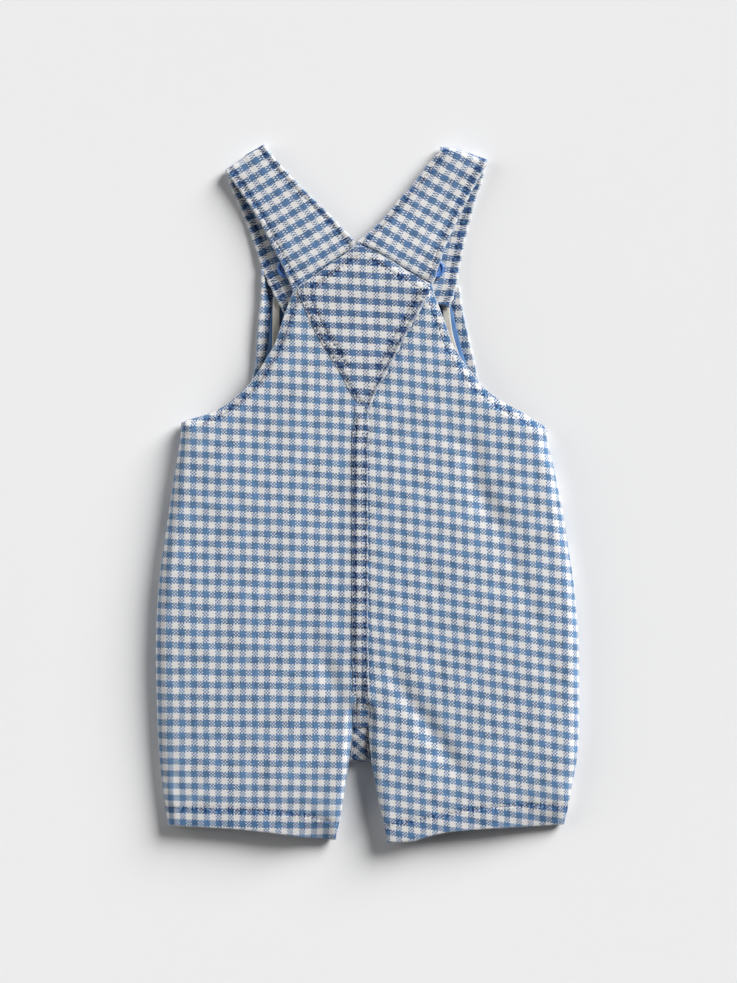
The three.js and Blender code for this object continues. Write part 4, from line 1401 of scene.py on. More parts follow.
@dataclass
class BackPanels(Assembly):
    """The two back panels, from the hems to the sloped top edges, with their hems and armholes.

    Attributes:
        seat: The strip over the seam between the two panels, with its stitches. Not used.
        row_step: Distance between rows of points.
        columns: Columns in the outer roll, the middle and the inner roll.
        outer_roll: Width of the outer roll.
        hem_swell: Extra height of the doubled cloth in the hem.
        armhole_inset: Distance from the armhole's edge to its row of stitches.
        yoke_ditch: Distance of a seam's ditch from the yoke's right side.
        strip_ditch: Distance of a seam's ditch from the middle of the strip.
    """

    seat: Sequence[bpy.types.Object] = ()
    row_step: float = 1.0
    columns: tuple[int, int, int] = (16, 78, 18)
    outer_roll: float = 8.0
    hem_swell: float = 0.35
    armhole_inset: float = 4.6
    yoke_ditch: float = 0.6
    strip_ditch: float = 5.2

    def lines(self, panel: Panel) -> tuple[SewnLine, ...]:
        """Rows of stitches on a panel: above the hem, and inside the armhole."""
        inward = -panel.side.value * self.armhole_inset
        armhole = facing(beside(panel.edge, inward, 43.0, 122.0), panel.side)
        return (SewnLine(panel.hem_line, EdgeRun.TIGHT), SewnLine(armhole, EdgeRun.TIGHT))

    def ditches(self, panel: Panel) -> tuple[SewnLine, ...]:
        """Seams with no stitches that show, on the right panel: beside the yoke and beside the strip."""
        if panel.side is Side.LEFT:
            return ()
        yoke = beside(yoke_side(panel.side), self.yoke_ditch, 51.0, 121.0)
        y = np.arange(-126.0, 46.0, 4.0)
        strip = path_of(BACK_CENTRE.at("y", y, "centre") + self.strip_ditch, y)
        return tuple(SewnLine(facing(path, Side.LEFT), EdgeRun.FAINT) for path in (yoke, strip))

    def face(self, panel: Panel) -> ClothFace:
        """Outer face of a panel: the form's height, with the hem's swell and a groove on each row of stitches.

        Args:
            panel: The panel.

        Returns:
            The face.
        """
        heights = np.concatenate([
            np.linspace(HEM_CORNER, CROTCH, 40)[:-1], np.arange(CROTCH, YOKE_TIP, self.row_step), [YOKE_TIP],
        ])
        rolls = (self.outer_roll, self.form.inner_roll)
        x, y = self.form.panel_places(panel, BACK_CENTRE, heights, self.columns, rolls)
        z = self.form.back_height(panel, x, y)
        seam = seam_field(x, y, self.lines(panel) + self.ditches(panel))
        hem = nearest_on(panel.hem_line, x, y)
        below = np.clip((hem["y"] - y) / 1.2 + 0.5, 0, 1)
        z = z + self.hem_swell * below * np.minimum(z / 8, 1)
        z = z + groove(seam, 0.27, 1.4)
        points = np.stack([x, y, z], axis=-1)
        checks = panel.checks.at(x, y)
        steps = np.linalg.norm(np.diff(points, axis=1), axis=2) - np.abs(np.diff(x, axis=1))
        extra = np.concatenate([np.zeros((len(heights), 1)), np.cumsum(steps, axis=1)], axis=1)
        extra = extra - extra[:, x.shape[1] // 2][:, None]
        checks[..., 0] -= panel.side.value * extra / CHECK_SIZE
        return ClothFace(points, checks, seam, BODY_WALL, -float(panel.side.value))

    def build(self) -> list[bpy.types.Object]:
        """Makes both panels and their stitches."""
        made = []
        for side, panel in PANELS.items():
            name = "back_" + side.name.lower()
            rows = [self.form.sewn_path(line.path, 0.0) for line in self.lines(panel)]
            stitches = self.stitch(name, rows)
            resting = ("front_" + side.name.lower(),)
            made.append(lay_cloth(name, self.face(panel), self.cloths.body, resting))
            made.append(stitches)
        return made


@dataclass
class BackYoke(Assembly):
    """Kite-shaped yoke sewn over the straps' ends, with double rows of stitches on its lower sides.

    Attributes:
        lift: Height of its outer face above the back.
        wall: Thickness of its cloth.
        near: Distance of the outer row of stitches from the edge, on the left and on the right.
        far: Distance of the inner row from the edge.
        upper: Distance of the upper sides' row from the edge.
        closer: How much closer to the back its lower part lies.
        thinner: How much thinner its lower part is.
        pressed: Width and depth of the flattened left edge.
        fold: The raised fold's distance inside the right edge, half width and height.
        sunk: Depth of the stitches under the outer face.
    """

    lift: float = 0.95
    wall: float = 0.62
    near: tuple[float, float] = (1.4, 2.3)
    far: float = 6.0
    upper: float = 5.2
    closer: float = 0.4
    thinner: float = 0.2
    pressed: tuple[float, float] = (1.4, 0.14)
    fold: tuple[float, float, float] = (0.8, 0.6, 0.55)
    sunk: float = 0.35

    def lines(self) -> tuple[SewnLine, ...]:
        """Rows of stitches: two along each lower side and one along each upper side."""
        made = []
        for side, near in zip(Side, self.near):
            for inset, low, high in ((near, 49.0, 121.5), (self.far, 62.0, 116.5), (self.upper, 122.0, 144.6)):
                path = beside(yoke_side(side), -side.value * inset, low, high)
                made.append(SewnLine(facing(path, side), EdgeRun.TIGHT))
        return tuple(made)

    def face(self) -> ClothFace:
        """Outer face: points on the back between the kite's two sides, moved out.

        Its lower part lies closer to the back. There its left side is pressed flat, and its right side is a
        raised fold: a bell across, with its crest a little inside the edge.
        """
        y = np.concatenate([np.linspace(48.6, YOKE_CORNER, 74)[:-1], np.linspace(YOKE_CORNER, YOKE_TIP, 30)])
        parts = 0.5 - 0.5 * np.cos(np.linspace(0, np.pi, 64))
        left, right = YOKE_EDGE.at("y", y, "left"), YOKE_EDGE.at("y", y, "right")
        x = left[:, None] + (right - left)[:, None] * parts
        y = np.broadcast_to(y[:, None], x.shape)
        seam = seam_field(x, y, self.lines())
        lower = np.clip((121.0 - y) / 8, 0, 1)
        flat = 1 - rounding(np.maximum(x - left[:, None], 0), self.pressed[0], 1.0)
        inside, half, height = self.fold
        fold = np.exp(-(((right[:, None] - x - inside) / half) ** 2))
        extra = lower * (height * fold - self.pressed[1] * flat)
        wall = self.wall - self.thinner * lower + extra
        # The fold's crest is painted paler: partly wear, partly a painted highlight where it catches the light.
        face = ClothFace(self.form.on_back(x, y), YOKE_CHECKS.at(x, y), seam, wall, 1.0, 1.5 * fold * lower)
        return face.moved_out(self.lift - self.closer * lower + extra + groove(seam, 0.25, 1.2))

    def build(self) -> list[bpy.types.Object]:
        """Makes the yoke and its stitches."""
        rows = [self.form.sewn_path(line.path, self.lift - self.sunk) for line in self.lines()]
        stitches = self.stitch("back_yoke", rows)
        resting = ("back_left", "back_right")
        yoke = lay_cloth("back_yoke", self.face(), self.cloths.doubled, resting)
        return [yoke, stitches]


@dataclass
class SeatSeam(Assembly):
    """Flat-felled strip over the centre-back seam.

    Attributes:
        half: Half its width.
        lift: Height of its outer face above the back.
        offsets: Places of its rows of stitches from its middle.
        ends: Heights along the body past which its lower and its upper end thin out.
        parting: Height along the body below which it bridges the gap.
    """

    half: float = 4.5
    lift: float = 1.2
    offsets: tuple[float, ...] = (-3.1, 1.4, 3.9)
    ends: tuple[float, float] = (-134.0, 44.0)
    parting: float = -118.0

    def lines(self) -> tuple[SewnLine, ...]:
        """Rows of stitches, each a shifted copy of the seam's line."""
        y = np.arange(-138.0, 48.0, 3.0)
        centre = BACK_CENTRE.at("y", y, "centre")
        runs = (EdgeRun.TIGHT, EdgeRun.FAINT, EdgeRun.TIGHT)
        return tuple(SewnLine(path_of(centre + offset, y), run) for offset, run in zip(self.offsets, runs))

    def face(self) -> ClothFace:
        """Outer face: points on the back along the seam, moved out, with an uneven edge.

        Both ends thin out, the upper one under the yoke's point, and the left edge is pressed flat. Where the
        legs part it bridges the gap at the height of their edges.
        """
        y = np.arange(-140.6, 53.0, 0.9)
        parts = np.linspace(-1, 1, 17)
        low, high = self.ends
        tuck = np.maximum(np.clip((y - high) / 4.0, 0, 1), np.clip((low - y) / 6.0, 0, 1))
        uneven = 1 + 0.03 * np.sin(y * 0.9) + 0.03 * np.sin(y * 0.37 + 1)
        uneven = uneven - 0.2 * np.clip((y - 36.0) / 12.0, 0, 1)
        pressed = 0.62 * np.clip(-0.4 - parts, 0, 0.6) / 0.6
        thin = (1 - 0.76 * tuck)[:, None] * (1 - pressed * (1 - tuck)[:, None])
        x = BACK_CENTRE.at("y", y, "centre")[:, None] + parts * (self.half * uneven)[:, None]
        y = np.broadcast_to(y[:, None], x.shape)
        seam = seam_field(x, y, self.lines())
        points = self.form.on_back(x, y)
        panel = PANELS[Side.LEFT]
        split = self.form.back_height(panel, self.form.inner_edge(panel, BACK_CENTRE, y), y)
        points[..., 2] += (split - points[..., 2]) * np.clip((self.parting - y) / 10.0, 0, 1)
        face = ClothFace(points, LEFT_CHECKS.at(x, y), seam, PATCH_WALL * thin, 1.0)
        return face.moved_out(self.lift - PATCH_WALL * (1 - thin) + groove(seam, 0.45, 0.9) * thin)

    def build(self) -> list[bpy.types.Object]:
        """Makes the strip and its stitches."""
        piece = lay_cloth("seat_seam", self.face(), self.cloths.doubled)
        shown = [Chart(line.path.names, line.path.rows[3:-2]) for line in self.lines()]
        rows = [self.form.sewn_path(line, self.lift - 0.1) for line in shown]
        return [piece, self.stitch("seat_seam", rows)]


@dataclass
class CrotchGusset(Assembly):
    """Gusset between the legs: over the seam, then down and under in an arc.

    Attributes:
        top: Table of y and half width along the seam.
        turn_y: y of the arc's centre.
        reach: Depth of the arc.
        height: Half its height.
        half: Half its width.
        under: Table of y, height and half width of the end underneath.
        stitched: Distance of its rows of stitches from its middle.
    """

    top: Chart = Chart(("y", "half"), (
        (-154.5, 5.6), (-150, 5.2), (-145.5, 4.7), (-140, 4.5), (-136, 4.3), (-131, 4.0), (-127.6, 1.0),
    ))
    turn_y: float = -156.6
    reach: float = 5.2
    height: float = 4.0
    half: float = 5.8
    under: Chart = Chart(("y", "height", "half"), (
        (-151.5, 0.0, 5.0), (-149.6, 0.05, 4.8), (-147.6, 0.2, 2.7), (-146.0, 0.3, 0.7),
    ))
    stitched: float = 4.6

    def face(self) -> ClothFace:
        """Outer face.

        Formula: rows follow a path of y, height and half width: along the seam's height, round the arc, and
        back underneath. Check counts run on along the path's length.
        """
        panel = PANELS[Side.LEFT]
        along = np.linspace(self.top.rows[-1][0], self.top.rows[0][0], 30)
        seam_z = self.form.back_height(panel, self.form.inner_edge(panel, BACK_CENTRE, along), along)
        top = np.stack([along, seam_z, self.top.at("y", along, "half")], axis=1)
        angle = np.radians(np.linspace(42, -90, 26))
        turn = np.stack([
            self.turn_y - self.reach * np.cos(angle),
            self.height * (1 + np.sin(angle)),
            np.full(len(angle), self.half),
        ], axis=1)
        path = np.concatenate([top, turn, self.under.rows])
        length = run_length(path[:, :2])
        where = np.linspace(0, length[-1], 78)
        path = read_along(where, length, path)
        parts = np.linspace(-1, 1, 15)
        middle = BACK_CENTRE.at("y", np.maximum(path[:, 0], CROTCH), "centre")
        x = middle[:, None] + parts * path[:, 2:3]
        run = np.broadcast_to(where[:, None], x.shape)
        dip = 0.35 * (parts**2) * np.sin(run * 1.1)
        points = np.stack([x, np.broadcast_to(path[:, :1], x.shape), path[:, 1:2] + dip.clip(0)], axis=-1)
        checks = GUSSET_CHECKS.at(x, along[0] - run)
        seam = np.stack([self.stitched - np.abs(parts) * path[:, 2:3], run, np.full(x.shape, 0.9)], axis=-1)
        return ClothFace(points, checks, seam, BODY_WALL, -1.0)

    def build(self) -> list[bpy.types.Object]:
        """Makes the gusset."""
        resting = ("front_left", "front_right")
        return [lay_cloth("crotch_gusset", self.face(), self.cloths.doubled, resting)]


@dataclass
class FrontPanels(Assembly):
    """The two front panels, lying on the surface.

    Attributes:
        columns: Columns in the outer roll, the middle and the inner roll.
        top: Height along the body of their upper edge.
        crease_share: Share of the back's creases, seen from the front, that lifts them.
    """

    columns: tuple[int, int, int] = (10, 44, 10)
    top: float = 36.0
    crease_share: float = 0.35

    def face(self, panel: Panel) -> ClothFace:
        """Lower face of a panel: the form's height, with shallow creases that lift off the surface.

        Args:
            panel: The panel.

        Returns:
            The face.
        """
        legs = np.linspace(HEM_CORNER, CROTCH, 26)[:-1]
        heights = np.concatenate([legs, np.linspace(CROTCH, self.top, 130)])
        roll = self.form.front_roll
        x, y = self.form.panel_places(panel, FRONT_CENTRE, heights, self.columns, (roll, roll))
        z = self.form.front_height(panel, x, y)
        mirrored = np.clip(self.form.crease_depth(-x, y), 0, 1.6) * self.crease_share
        seam = seam_field(x, y, (SewnLine(panel.hem_line, EdgeRun.TIGHT),))
        points = np.stack([x, y, z + mirrored - groove(seam, 0.3, 1.2)], axis=-1)
        return ClothFace(points, FRONT_CHECKS.at(x, y), seam, BODY_WALL, float(panel.side.value))

    def build(self) -> list[bpy.types.Object]:
        """Makes both panels and the stitches of their hems."""
        made = []
        for side, panel in PANELS.items():
            name = "front_" + side.name.lower()
            x, y = evenly(panel.hem_line)
            z = self.form.front_height(panel, x, y) + 0.3
            path = np.stack([x, y, z], axis=1)
            down = np.broadcast_to(np.array([0.0, 0.0, -1.0]), path.shape)
            stitches = self.stitch(name, [(path, down)])
            made.append(lay_cloth(name, self.face(panel), self.cloths.body, ("floor",)))
            made.append(stitches)
        return made


FACING_LEFT = Chart(("y", "x"), (
    (50, -70.0), (70.5, -62.5), (82.5, -60.9), (88.5, -59.1), (100.5, -58.5), (109.5, -57.3), (119, -56.4),
))
FACING_RIGHT = Chart(("y", "x"), (
    (50, 70.0), (70.5, 60.9), (78.3, 58.5), (84.3, 56.7), (91.5, 54.9), (98.7, 53.1), (106.5, 51.3),
    (113.1, 49.5), (119, 48.6),
))
TAPES = {
    "left": ((70.5, -58.4), (88.5, -56.8), (105, -56.7), (117, -56.3)),
    "right": ((70.5, 54.9), (85, 50.2), (98, 46.7), (113.4, 45.0)),
}


@dataclass
class Bib(Assembly):
    """The bib with its hems, the facing inside it and the tapes that finish the facing.

    Attributes:
        left: Table of the left side: y, x, lift.
        right: Table of the right side.
        top_left: Height along the body of the top edge at the left side.
        top_right: The same at the right side.
        top_start: x of the top edge's left end.
        top_width: Width of the top edge.
        low: Height along the body of the lower edge.
        hem: Width of the side hems.
        top_hem: Width of the top hem.
        swell: Extra height of doubled cloth in a hem.
        curl: How far the left edge stands off the surface.
        tape_width: Width of a tape.
    """

    left: Chart = Chart(("y", "x", "lift"), (
        (36.3, -111.7, 4), (41.8, -110.8, 4), (43.8, -97.5, 2.4), (48.6, -85.5, 0.9), (54.3, -76.5, 0.3),
        (62.7, -70.5, 0.3), (72.3, -67.5, 0.3), (78.3, -66.6, 0.3), (91.5, -65.7, 0.3), (106.5, -64.5, 0.3),
        (118.5, -63.3, 0.3), (133.2, -63.3, 0.3),
    ))
    right: Chart = Chart(("y", "x", "lift"), (
        (36.3, 107.1, 4), (38.7, 106.5, 4), (41.7, 92.7, 2.4), (48.3, 82.5, 0.9), (54.3, 74.7, 0.3),
        (60.9, 68.7, 0.3), (67.5, 65.7, 0.3), (79.5, 63.3, 0.3), (86.7, 61.5, 0.3), (92.7, 60.3, 0.3),
        (100.5, 58.5, 0.3), (106.5, 57.3, 0.3), (115.5, 55.5, 0.3), (123.3, 54.9, 0.3),
    ))
    top_left: float = 133.2
    top_right: float = 123.3
    top_start: float = -63.3
    top_width: float = 118.2
    low: float = 37.0
    hem: float = 5.6
    top_hem: float = 12.5
    swell: float = 0.5
    curl: float = 3.2
    tape_width: float = 3.6

    def top_edge(self, share: Floats) -> Floats:
        """Height along the body of the top edge at a share of its way from left to right."""
        return self.top_left + (self.top_right - self.top_left) * share

    def places(self, rows: int, parts: Floats) -> tuple[Floats, Floats]:
        """Places of the bib's grid, whose rows fan towards the sloped top edge.

        Args:
            rows: Number of rows.
            parts: Place of each column between the two sides.

        Returns:
            x and y of each point.
        """
        rise = np.linspace(0, 1, rows)[:, None]
        level = self.low + (self.top_right - self.low) * rise
        slope = self.top_edge(parts) - self.top_right
        y = level + slope * rise**3
        x = self.left.at("y", y, "x") * (1 - parts) + self.right.at("y", y, "x") * parts
        return x, y

    def edge_distance(self, x: Floats, y: Floats) -> tuple[Floats, Floats]:
        """Distance from the nearer side, and that side's height there."""
        one, other = nearest_on(self.left, x, y), nearest_on(self.right, x, y)
        nearer = one["distance"] < other["distance"]
        return (
            np.where(nearer, one["distance"], other["distance"]),
            np.where(nearer, one["lift"], other["lift"]),
        )

    def lines(self) -> tuple[SewnLine, ...]:
        """Rows of stitches: inside both sides, and below the top edge."""
        sides = [
            SewnLine(facing(beside(self.left, self.hem, 46.0, 134.0), Side.LEFT), EdgeRun.EASY),
            SewnLine(beside(self.right, -self.hem, 46.0, 124.0), EdgeRun.EASY),
        ]
        x = np.linspace(54.5, -63.0, 40)
        y = self.top_edge((x - self.top_start) / self.top_width) - self.top_hem
        return (*sides, SewnLine(path_of(x, y), EdgeRun.TIGHT))

    def upper(self, x: Floats, y: Floats) -> tuple[Floats, Floats]:
        """Height of the bib's upper face, and its wall.

        Formula: the lower face turns up to the side seams, and the wall is thicker in the hems.

        Args:
            x: Places across.
            y: Places along.

        Returns:
            Heights and walls.
        """
        distance, lift = self.edge_distance(x, y)
        low = (lift - SEAM_GAP) * (1 - rounding(distance, self.form.front_roll, 0.0))
        top = self.top_edge((x - self.top_start) / self.top_width) - y
        in_hem = np.maximum(rounding(np.maximum(self.hem + 0.4 - distance, 0), 0.8, 1.0), 0)
        in_top = rounding(np.maximum(self.top_hem - top, 0), 0.8, 1.0)
        wall = BODY_WALL + self.swell * np.maximum(in_hem, in_top) * (y > 44)
        left_edge = 1 - rounding(np.maximum(x - self.left.at("y", y, "x"), 0), 5.5, 1.0)
        low = low + self.curl * left_edge * rounding(np.maximum(y - 50, 0), 20.0, 1.0)
        return low + wall, wall

    def face(self) -> ClothFace:
        """Upper face of the bib, which is the cloth's wrong side."""
        edge = 1 - np.cos(np.linspace(0.05, np.pi / 2, 14))
        parts = np.concatenate([0.08 * edge, np.linspace(0.08, 0.92, 46)[1:-1], 1 - 0.08 * edge[::-1]])
        x, y = self.places(100, parts)
        z, wall = self.upper(x, y)
        seam = seam_field(x, y, self.lines())
        dent = groove(seam, 0.3, 1.0)
        points = np.stack([x, y, z + dent], axis=-1)
        return ClothFace(points, FRONT_CHECKS.at(x, y), seam, wall + dent, 1.0)

    def sheet(self, left: Chart, right: Chart, low: float, high: float, height: float, count: int) -> ClothFace:
        """Upper face of a flat sheet between two sides, with slight waves.

        Args:
            left: Table with columns y and x.
            right: The same for the right side.
            low: The lowest y.
            high: The highest y.
            height: Height of the upper face.
            count: Number of columns.

        Returns:
            The face.
        """
        y = np.linspace(low, high, 60)[:, None]
        parts = np.linspace(0, 1, count)
        x = left.at("y", y, "x") * (1 - parts) + right.at("y", y, "x") * parts
        y = np.broadcast_to(y, x.shape)
        wave = 0.1 * np.sin(x * 0.19 + y * 0.07) * np.cos(y * 0.21) - 0.1
        points = np.stack([x, y, height + wave], axis=-1)
        seam = np.full(x.shape + (3,), 50.0)
        return ClothFace(points, np.stack([x, y], axis=-1) / CHECK_SIZE, seam, PATCH_WALL, 1.0)

    def build(self) -> list[bpy.types.Object]:
        """Makes the bib, the facing, both tapes and the bib's stitches."""
        rows = []
        for line in self.lines():
            x, y = evenly(line.path)
            path = np.stack([x, y, self.upper(x, y)[0]], axis=1)
            rows.append((path, np.broadcast_to(np.array([0.0, 0.0, 1.0]), path.shape)))
        stitches = self.stitch("front_bib", rows)
        bib = lay_cloth("front_bib", self.face(), self.cloths.body, ("floor",))
        strips = []
        for side, places in TAPES.items():
            start, end = (
                Chart(("y", "x"), tuple((y, x + shift) for y, x in places)) for shift in (0, self.tape_width)
            )
            strip = self.sheet(start, end, places[0][0], places[-1][0], 3.75, 7)
            strips.append(lay_cloth("facing_tape_" + side, strip, self.cloths.tape))
        facing_face = self.sheet(FACING_LEFT, FACING_RIGHT, 50.0, 118.0, 2.5, 50)
        lining = lay_cloth("bib_facing", facing_face, self.cloths.chambray, ("front_bib",))
        return [bib, stitches, lining, *strips]


@dataclass(frozen=True)
class StrapPath:
    """Edges of a strap, seen from above, and how it lies.

    Attributes:
        back: Rows of left x, left y, right x, right y from the shoulder fold down to its tucked end.
        front: The same from the fold down to its free end, with the height of its outer face.
        checks: How the checks run on its back part.
        kink: Place across the fold where it steps out, and how far.
        seat: Row of the front part, place between it and the next, and place across, where the button sits.
    """

    back: tuple[tuple[float, ...], ...]
    front: tuple[tuple[float, ...], ...]
    checks: CheckLattice
    kink: tuple[float, float]
    seat: tuple[int, float, float]


STRAPS = {
    Side.LEFT: StrapPath(
        back=(
            (-85.3, 194.9, -62.7, 208.8), (-77.7, 183.9, -53.1, 196.5), (-70.5, 173.1, -42.9, 185.7),
            (-63.3, 161.4, -32.7, 175.5), (-56.7, 148.5, -23.1, 165.9), (-50.1, 135.9, -15.3, 157.5),
            (-44.4, 122.1, -8.9, 150.5), (-41.0, 115.6, -7.4, 145.2),
        ),
        front=(
            (-85.3, 194.9, -62.7, 208.8, 0), (-81.9, 185.7, -58.1, 196.2, 0), (-76.5, 173.1, -52.7, 183.0, 0.3),
            (-68.1, 151.5, -44.3, 161.4, 1.2), (-62.7, 134.7, -38.9, 144.6, 2.5),
            (-56.1, 120.3, -32.3, 130.2, 4.2), (-48.3, 105.9, -24.5, 115.8, 4.6),
        ),
        checks=LEFT_STRAP_CHECKS,
        kink=(0.5, 0.9),
        seat=(4, 0.38, 0.5),
    ),
    Side.RIGHT: StrapPath(
        back=(
            (45.3, 208.8, 71.5, 200.1), (37.5, 197.7, 65.1, 186.9), (28.5, 185.7, 59.7, 176.7),
            (18.9, 174.9, 54.9, 167.1), (9.9, 164.1, 50.1, 156.9), (1.5, 155.7, 45.3, 145.5),
            (-5.7, 148.6, 39.3, 127.3), (-5.0, 144.6, 37.3, 121.5),
        ),
        front=(
            (45.3, 208.8, 71.5, 200.1, 0), (43.3, 194.8, 68.1, 187.5, 0), (38.5, 179.6, 63.3, 172.5, 0.3),
            (33.1, 158.6, 57.9, 151.5, 1.2), (30.1, 143.6, 54.9, 136.5, 2.4), (27.2, 128.7, 52.5, 122.7, 3.8),
            (24.4, 117.8, 48.9, 111.9, 4.6),
        ),
        checks=RIGHT_STRAP_CHECKS,
        kink=(0.22, 0.8),
        seat=(4, 0.45, 0.46),
    ),
}


@dataclass
class Strap(Assembly):
    """A strap that turns over at the shoulder, with its rows of stitches and its button.

    Attributes:
        side: Its side.
        fold_radius: Half the height of the shoulder fold.
        tuck_gap: Gap under the back's top edge.
        tucked: Number of rows that lie under the back.
        inset: Distance from each edge to its row of stitches.
        count: Number of columns.
    """

    side: Side
    fold_radius: float = 3.7
    tuck_gap: float = 1.0
    tucked: int = 2
    inset: float = 2.8
    count: int = 34

    def parts(self) -> Floats:
        """Place of each column between the two edges, closer together near them."""
        return 0.5 - 0.5 * np.cos(np.linspace(0.04, np.pi - 0.04, self.count))

    def out(self) -> Floats:
        """Direction that the shoulder fold points in, square to its line."""
        left_x, left_y, right_x, right_y = STRAPS[self.side].back[0]
        return unit(np.array([left_y - right_y, right_x - left_x, 0.0]))

    def rough(self) -> tuple[Floats, int]:
        """Rows of the strap's outer face, before they are made fine.

        Formula: the back part falls to its tucked end with the square of its place, the fold is half a
        circle, and the front part has the heights of its table.

        Returns:
            Rows of five points, and the number of the front part's first row.
        """
        path = STRAPS[self.side]
        parts = np.linspace(0, 1, 5)

        def across(rows: Floats) -> tuple[Floats, Floats]:
            """x and y of the columns between the two ends of each row."""
            x = rows[:, 0:1] + (rows[:, 2:3] - rows[:, 0:1]) * parts
            return x, rows[:, 1:2] + (rows[:, 3:4] - rows[:, 1:2]) * parts

        back, front = np.array(path.back), np.array(path.front)
        top = 2 * self.fold_radius
        x, y = across(back[1:])
        under = self.form.on_back(x, y)[..., 2] - BODY_WALL - self.tuck_gap
        part = np.minimum(np.arange(1, len(back)) / (len(back) - self.tucked), 1)[:, None]
        back_rows = np.stack([x, y, top + (under - top) * part**2], axis=-1)[::-1]
        angle = np.radians(np.linspace(90, -90, 7))[:, None, None]
        x, y = across(back[:1])
        flat = np.stack([x, y, np.zeros_like(x)], axis=-1)
        fold = flat + self.out() * self.fold_radius * (np.cos(angle) - 1)
        fold = fold + np.array([0.0, 0.0, 1.0]) * self.fold_radius * (1 + np.sin(angle))
        x, y = across(front[1:])
        front_rows = np.stack([x, y, np.broadcast_to(front[1:, 4:5], x.shape)], axis=-1)
        return np.concatenate([back_rows, fold, front_rows]), len(back_rows) + len(angle)

    def face(self) -> ClothFace:
        """Outer face of the whole strap.

        Formula: a smooth curve through the rough rows by their length, columns by straight steps, a step out
        at the fold's kink, a soft crown across, and a groove on each row of stitches. Check counts follow the
        chart on the back part and run on by length past the fold.
        """
        path = STRAPS[self.side]
        rough, front_start = self.rough()
        middle = rough[:, 2]
        length = run_length(middle)
        fold_start = length[len(path.back) - 1]
        fold_end = length[front_start - 1]
        where = np.concatenate([
            np.arange(0, fold_start, 1.0),
            np.linspace(fold_start, fold_end, 22),
            np.arange(fold_end + 0.8, length[-1], 1.1),
            length[-1:],
        ])
        fine = smooth_between(length, rough, where)
        parts = self.parts()
        place = parts * 4
        low = np.minimum(place.astype(int), 3)
        share = (place - low)[None, :, None]
        points = fine[:, low] * (1 - share) + fine[:, low + 1] * share
        near_fold = np.exp(-(((where - (fold_start + fold_end) / 2) / 9.0) ** 2))
        step = rounding(np.clip(parts - path.kink[0] + 0.06, 0, None), 0.12, 1.0) - 0.5
        sign = 1.0 if self.side is Side.LEFT else -1.0
        points = points + self.out() * (near_fold[:, None, None] * (step * path.kink[1])[None, :, None])
        points[..., 2] += (near_fold[:, None] * (step * 0.5 * sign)[None, :]).clip(-0.2, 0.2)
        across = unit(points[:, -1] - points[:, 0])[:, None, :]
        wavy = 0.22 * np.sin(where * 1.05 + 0.9 * np.sin(where * 0.31))[:, None] * (2 * parts - 1) ** 3
        points = points + across * wavy[..., None]
        width = np.linalg.norm(points[:, -1] - points[:, 0], axis=1)[:, None]
        from_left, from_right = parts[None, :] * width, (1 - parts[None, :]) * width
        seam = np.zeros(points.shape)
        seam[..., 0] = np.where(from_left < from_right, self.inset - from_left, self.inset - from_right)
        seam[..., 1] = where[:, None] + 3.0 * (from_left < from_right)
        seam[..., 2] = 1.0
        border = nearest_on(facing(YOKE_TOP[self.side], self.side), points[..., 0], points[..., 1])
        at_border = (border["distance"] < 1.5) & (where[:, None] < fold_start)
        fold = np.stack([-0.6 * border["distance"], border["along"], np.full(at_border.shape, 2.0)], axis=-1)
        seam = np.where(at_border[..., None], fold, seam)
        dip = 1.1 * np.exp(-((border["distance"] / 1.6) ** 2)) * (where[:, None] < fold_start)
        checks = path.checks.at(points[..., 0], points[..., 1])
        at_fold = int(np.searchsorted(where, fold_start))
        past = where > fold_start
        run = (where - fold_start)[:, None] / CHECK_SIZE
        checks[past, :, 0] = checks[at_fold, :, 0]
        checks[past, :, 1] = checks[at_fold, :, 1] - run[past]
        face = ClothFace(points, checks, seam, STRAP_WALL, 1.0)
        crown = 0.25 * np.sin(np.pi * parts)[None, :] - 0.25
        face = face.moved_out(crown + groove(seam, 0.3, 1.1) + 0.05 - dip)
        face.points[..., 2] = np.maximum(face.points[..., 2], 0.0)
        return face

    def stitch_rows(self, face: ClothFace) -> list[tuple[Floats, Floats]]:
        """Rows of stitches inside both edges, on the outer face and on the inner one.

        Args:
            face: The outer face.

        Returns:
            Points and normals of each row.
        """
        normals = face.normals()
        width = np.linalg.norm(face.points[:, -1] - face.points[:, 0], axis=1)
        parts = self.parts()
        rows = []
        for near_left in (True, False):
            part = self.inset / width if near_left else 1 - self.inset / width
            column = np.interp(part, parts, np.arange(len(parts)))
            low = np.clip(column.astype(int), 0, len(parts) - 2)
            share = (column - low)[:, None]
            index = np.arange(len(width))
            path = face.points[index, low] * (1 - share) + face.points[index, low + 1] * share
            normal = unit(normals[index, low] * (1 - share) + normals[index, low + 1] * share)
            sewn = path + normal * 0.05
            sewn[:, 2] = np.maximum(sewn[:, 2], 0.2)
            rows.append((sewn, normal))
            rows.append((path - normal * (STRAP_WALL + 0.02), -normal))
        return rows

    def button_place(self) -> tuple[Floats, Floats]:
        """Middle of the button's underside and the direction it faces."""
        rough, front_start = self.rough()
        row, part, across = STRAPS[self.side].seat
        inner = ClothFace(rough, rough[..., :2], rough, 0.0, 1.0).moved_out(-STRAP_WALL).points
        above, below = inner[front_start + row - 1], inner[front_start + row]
        upper = above[0] + (above[-1] - above[0]) * across
        lower = below[0] + (below[-1] - below[0]) * across
        normal = unit(np.cross(lower - upper, above[-1] - above[0]))
        return upper + (lower - upper) * part + normal * SEAM_GAP, normal

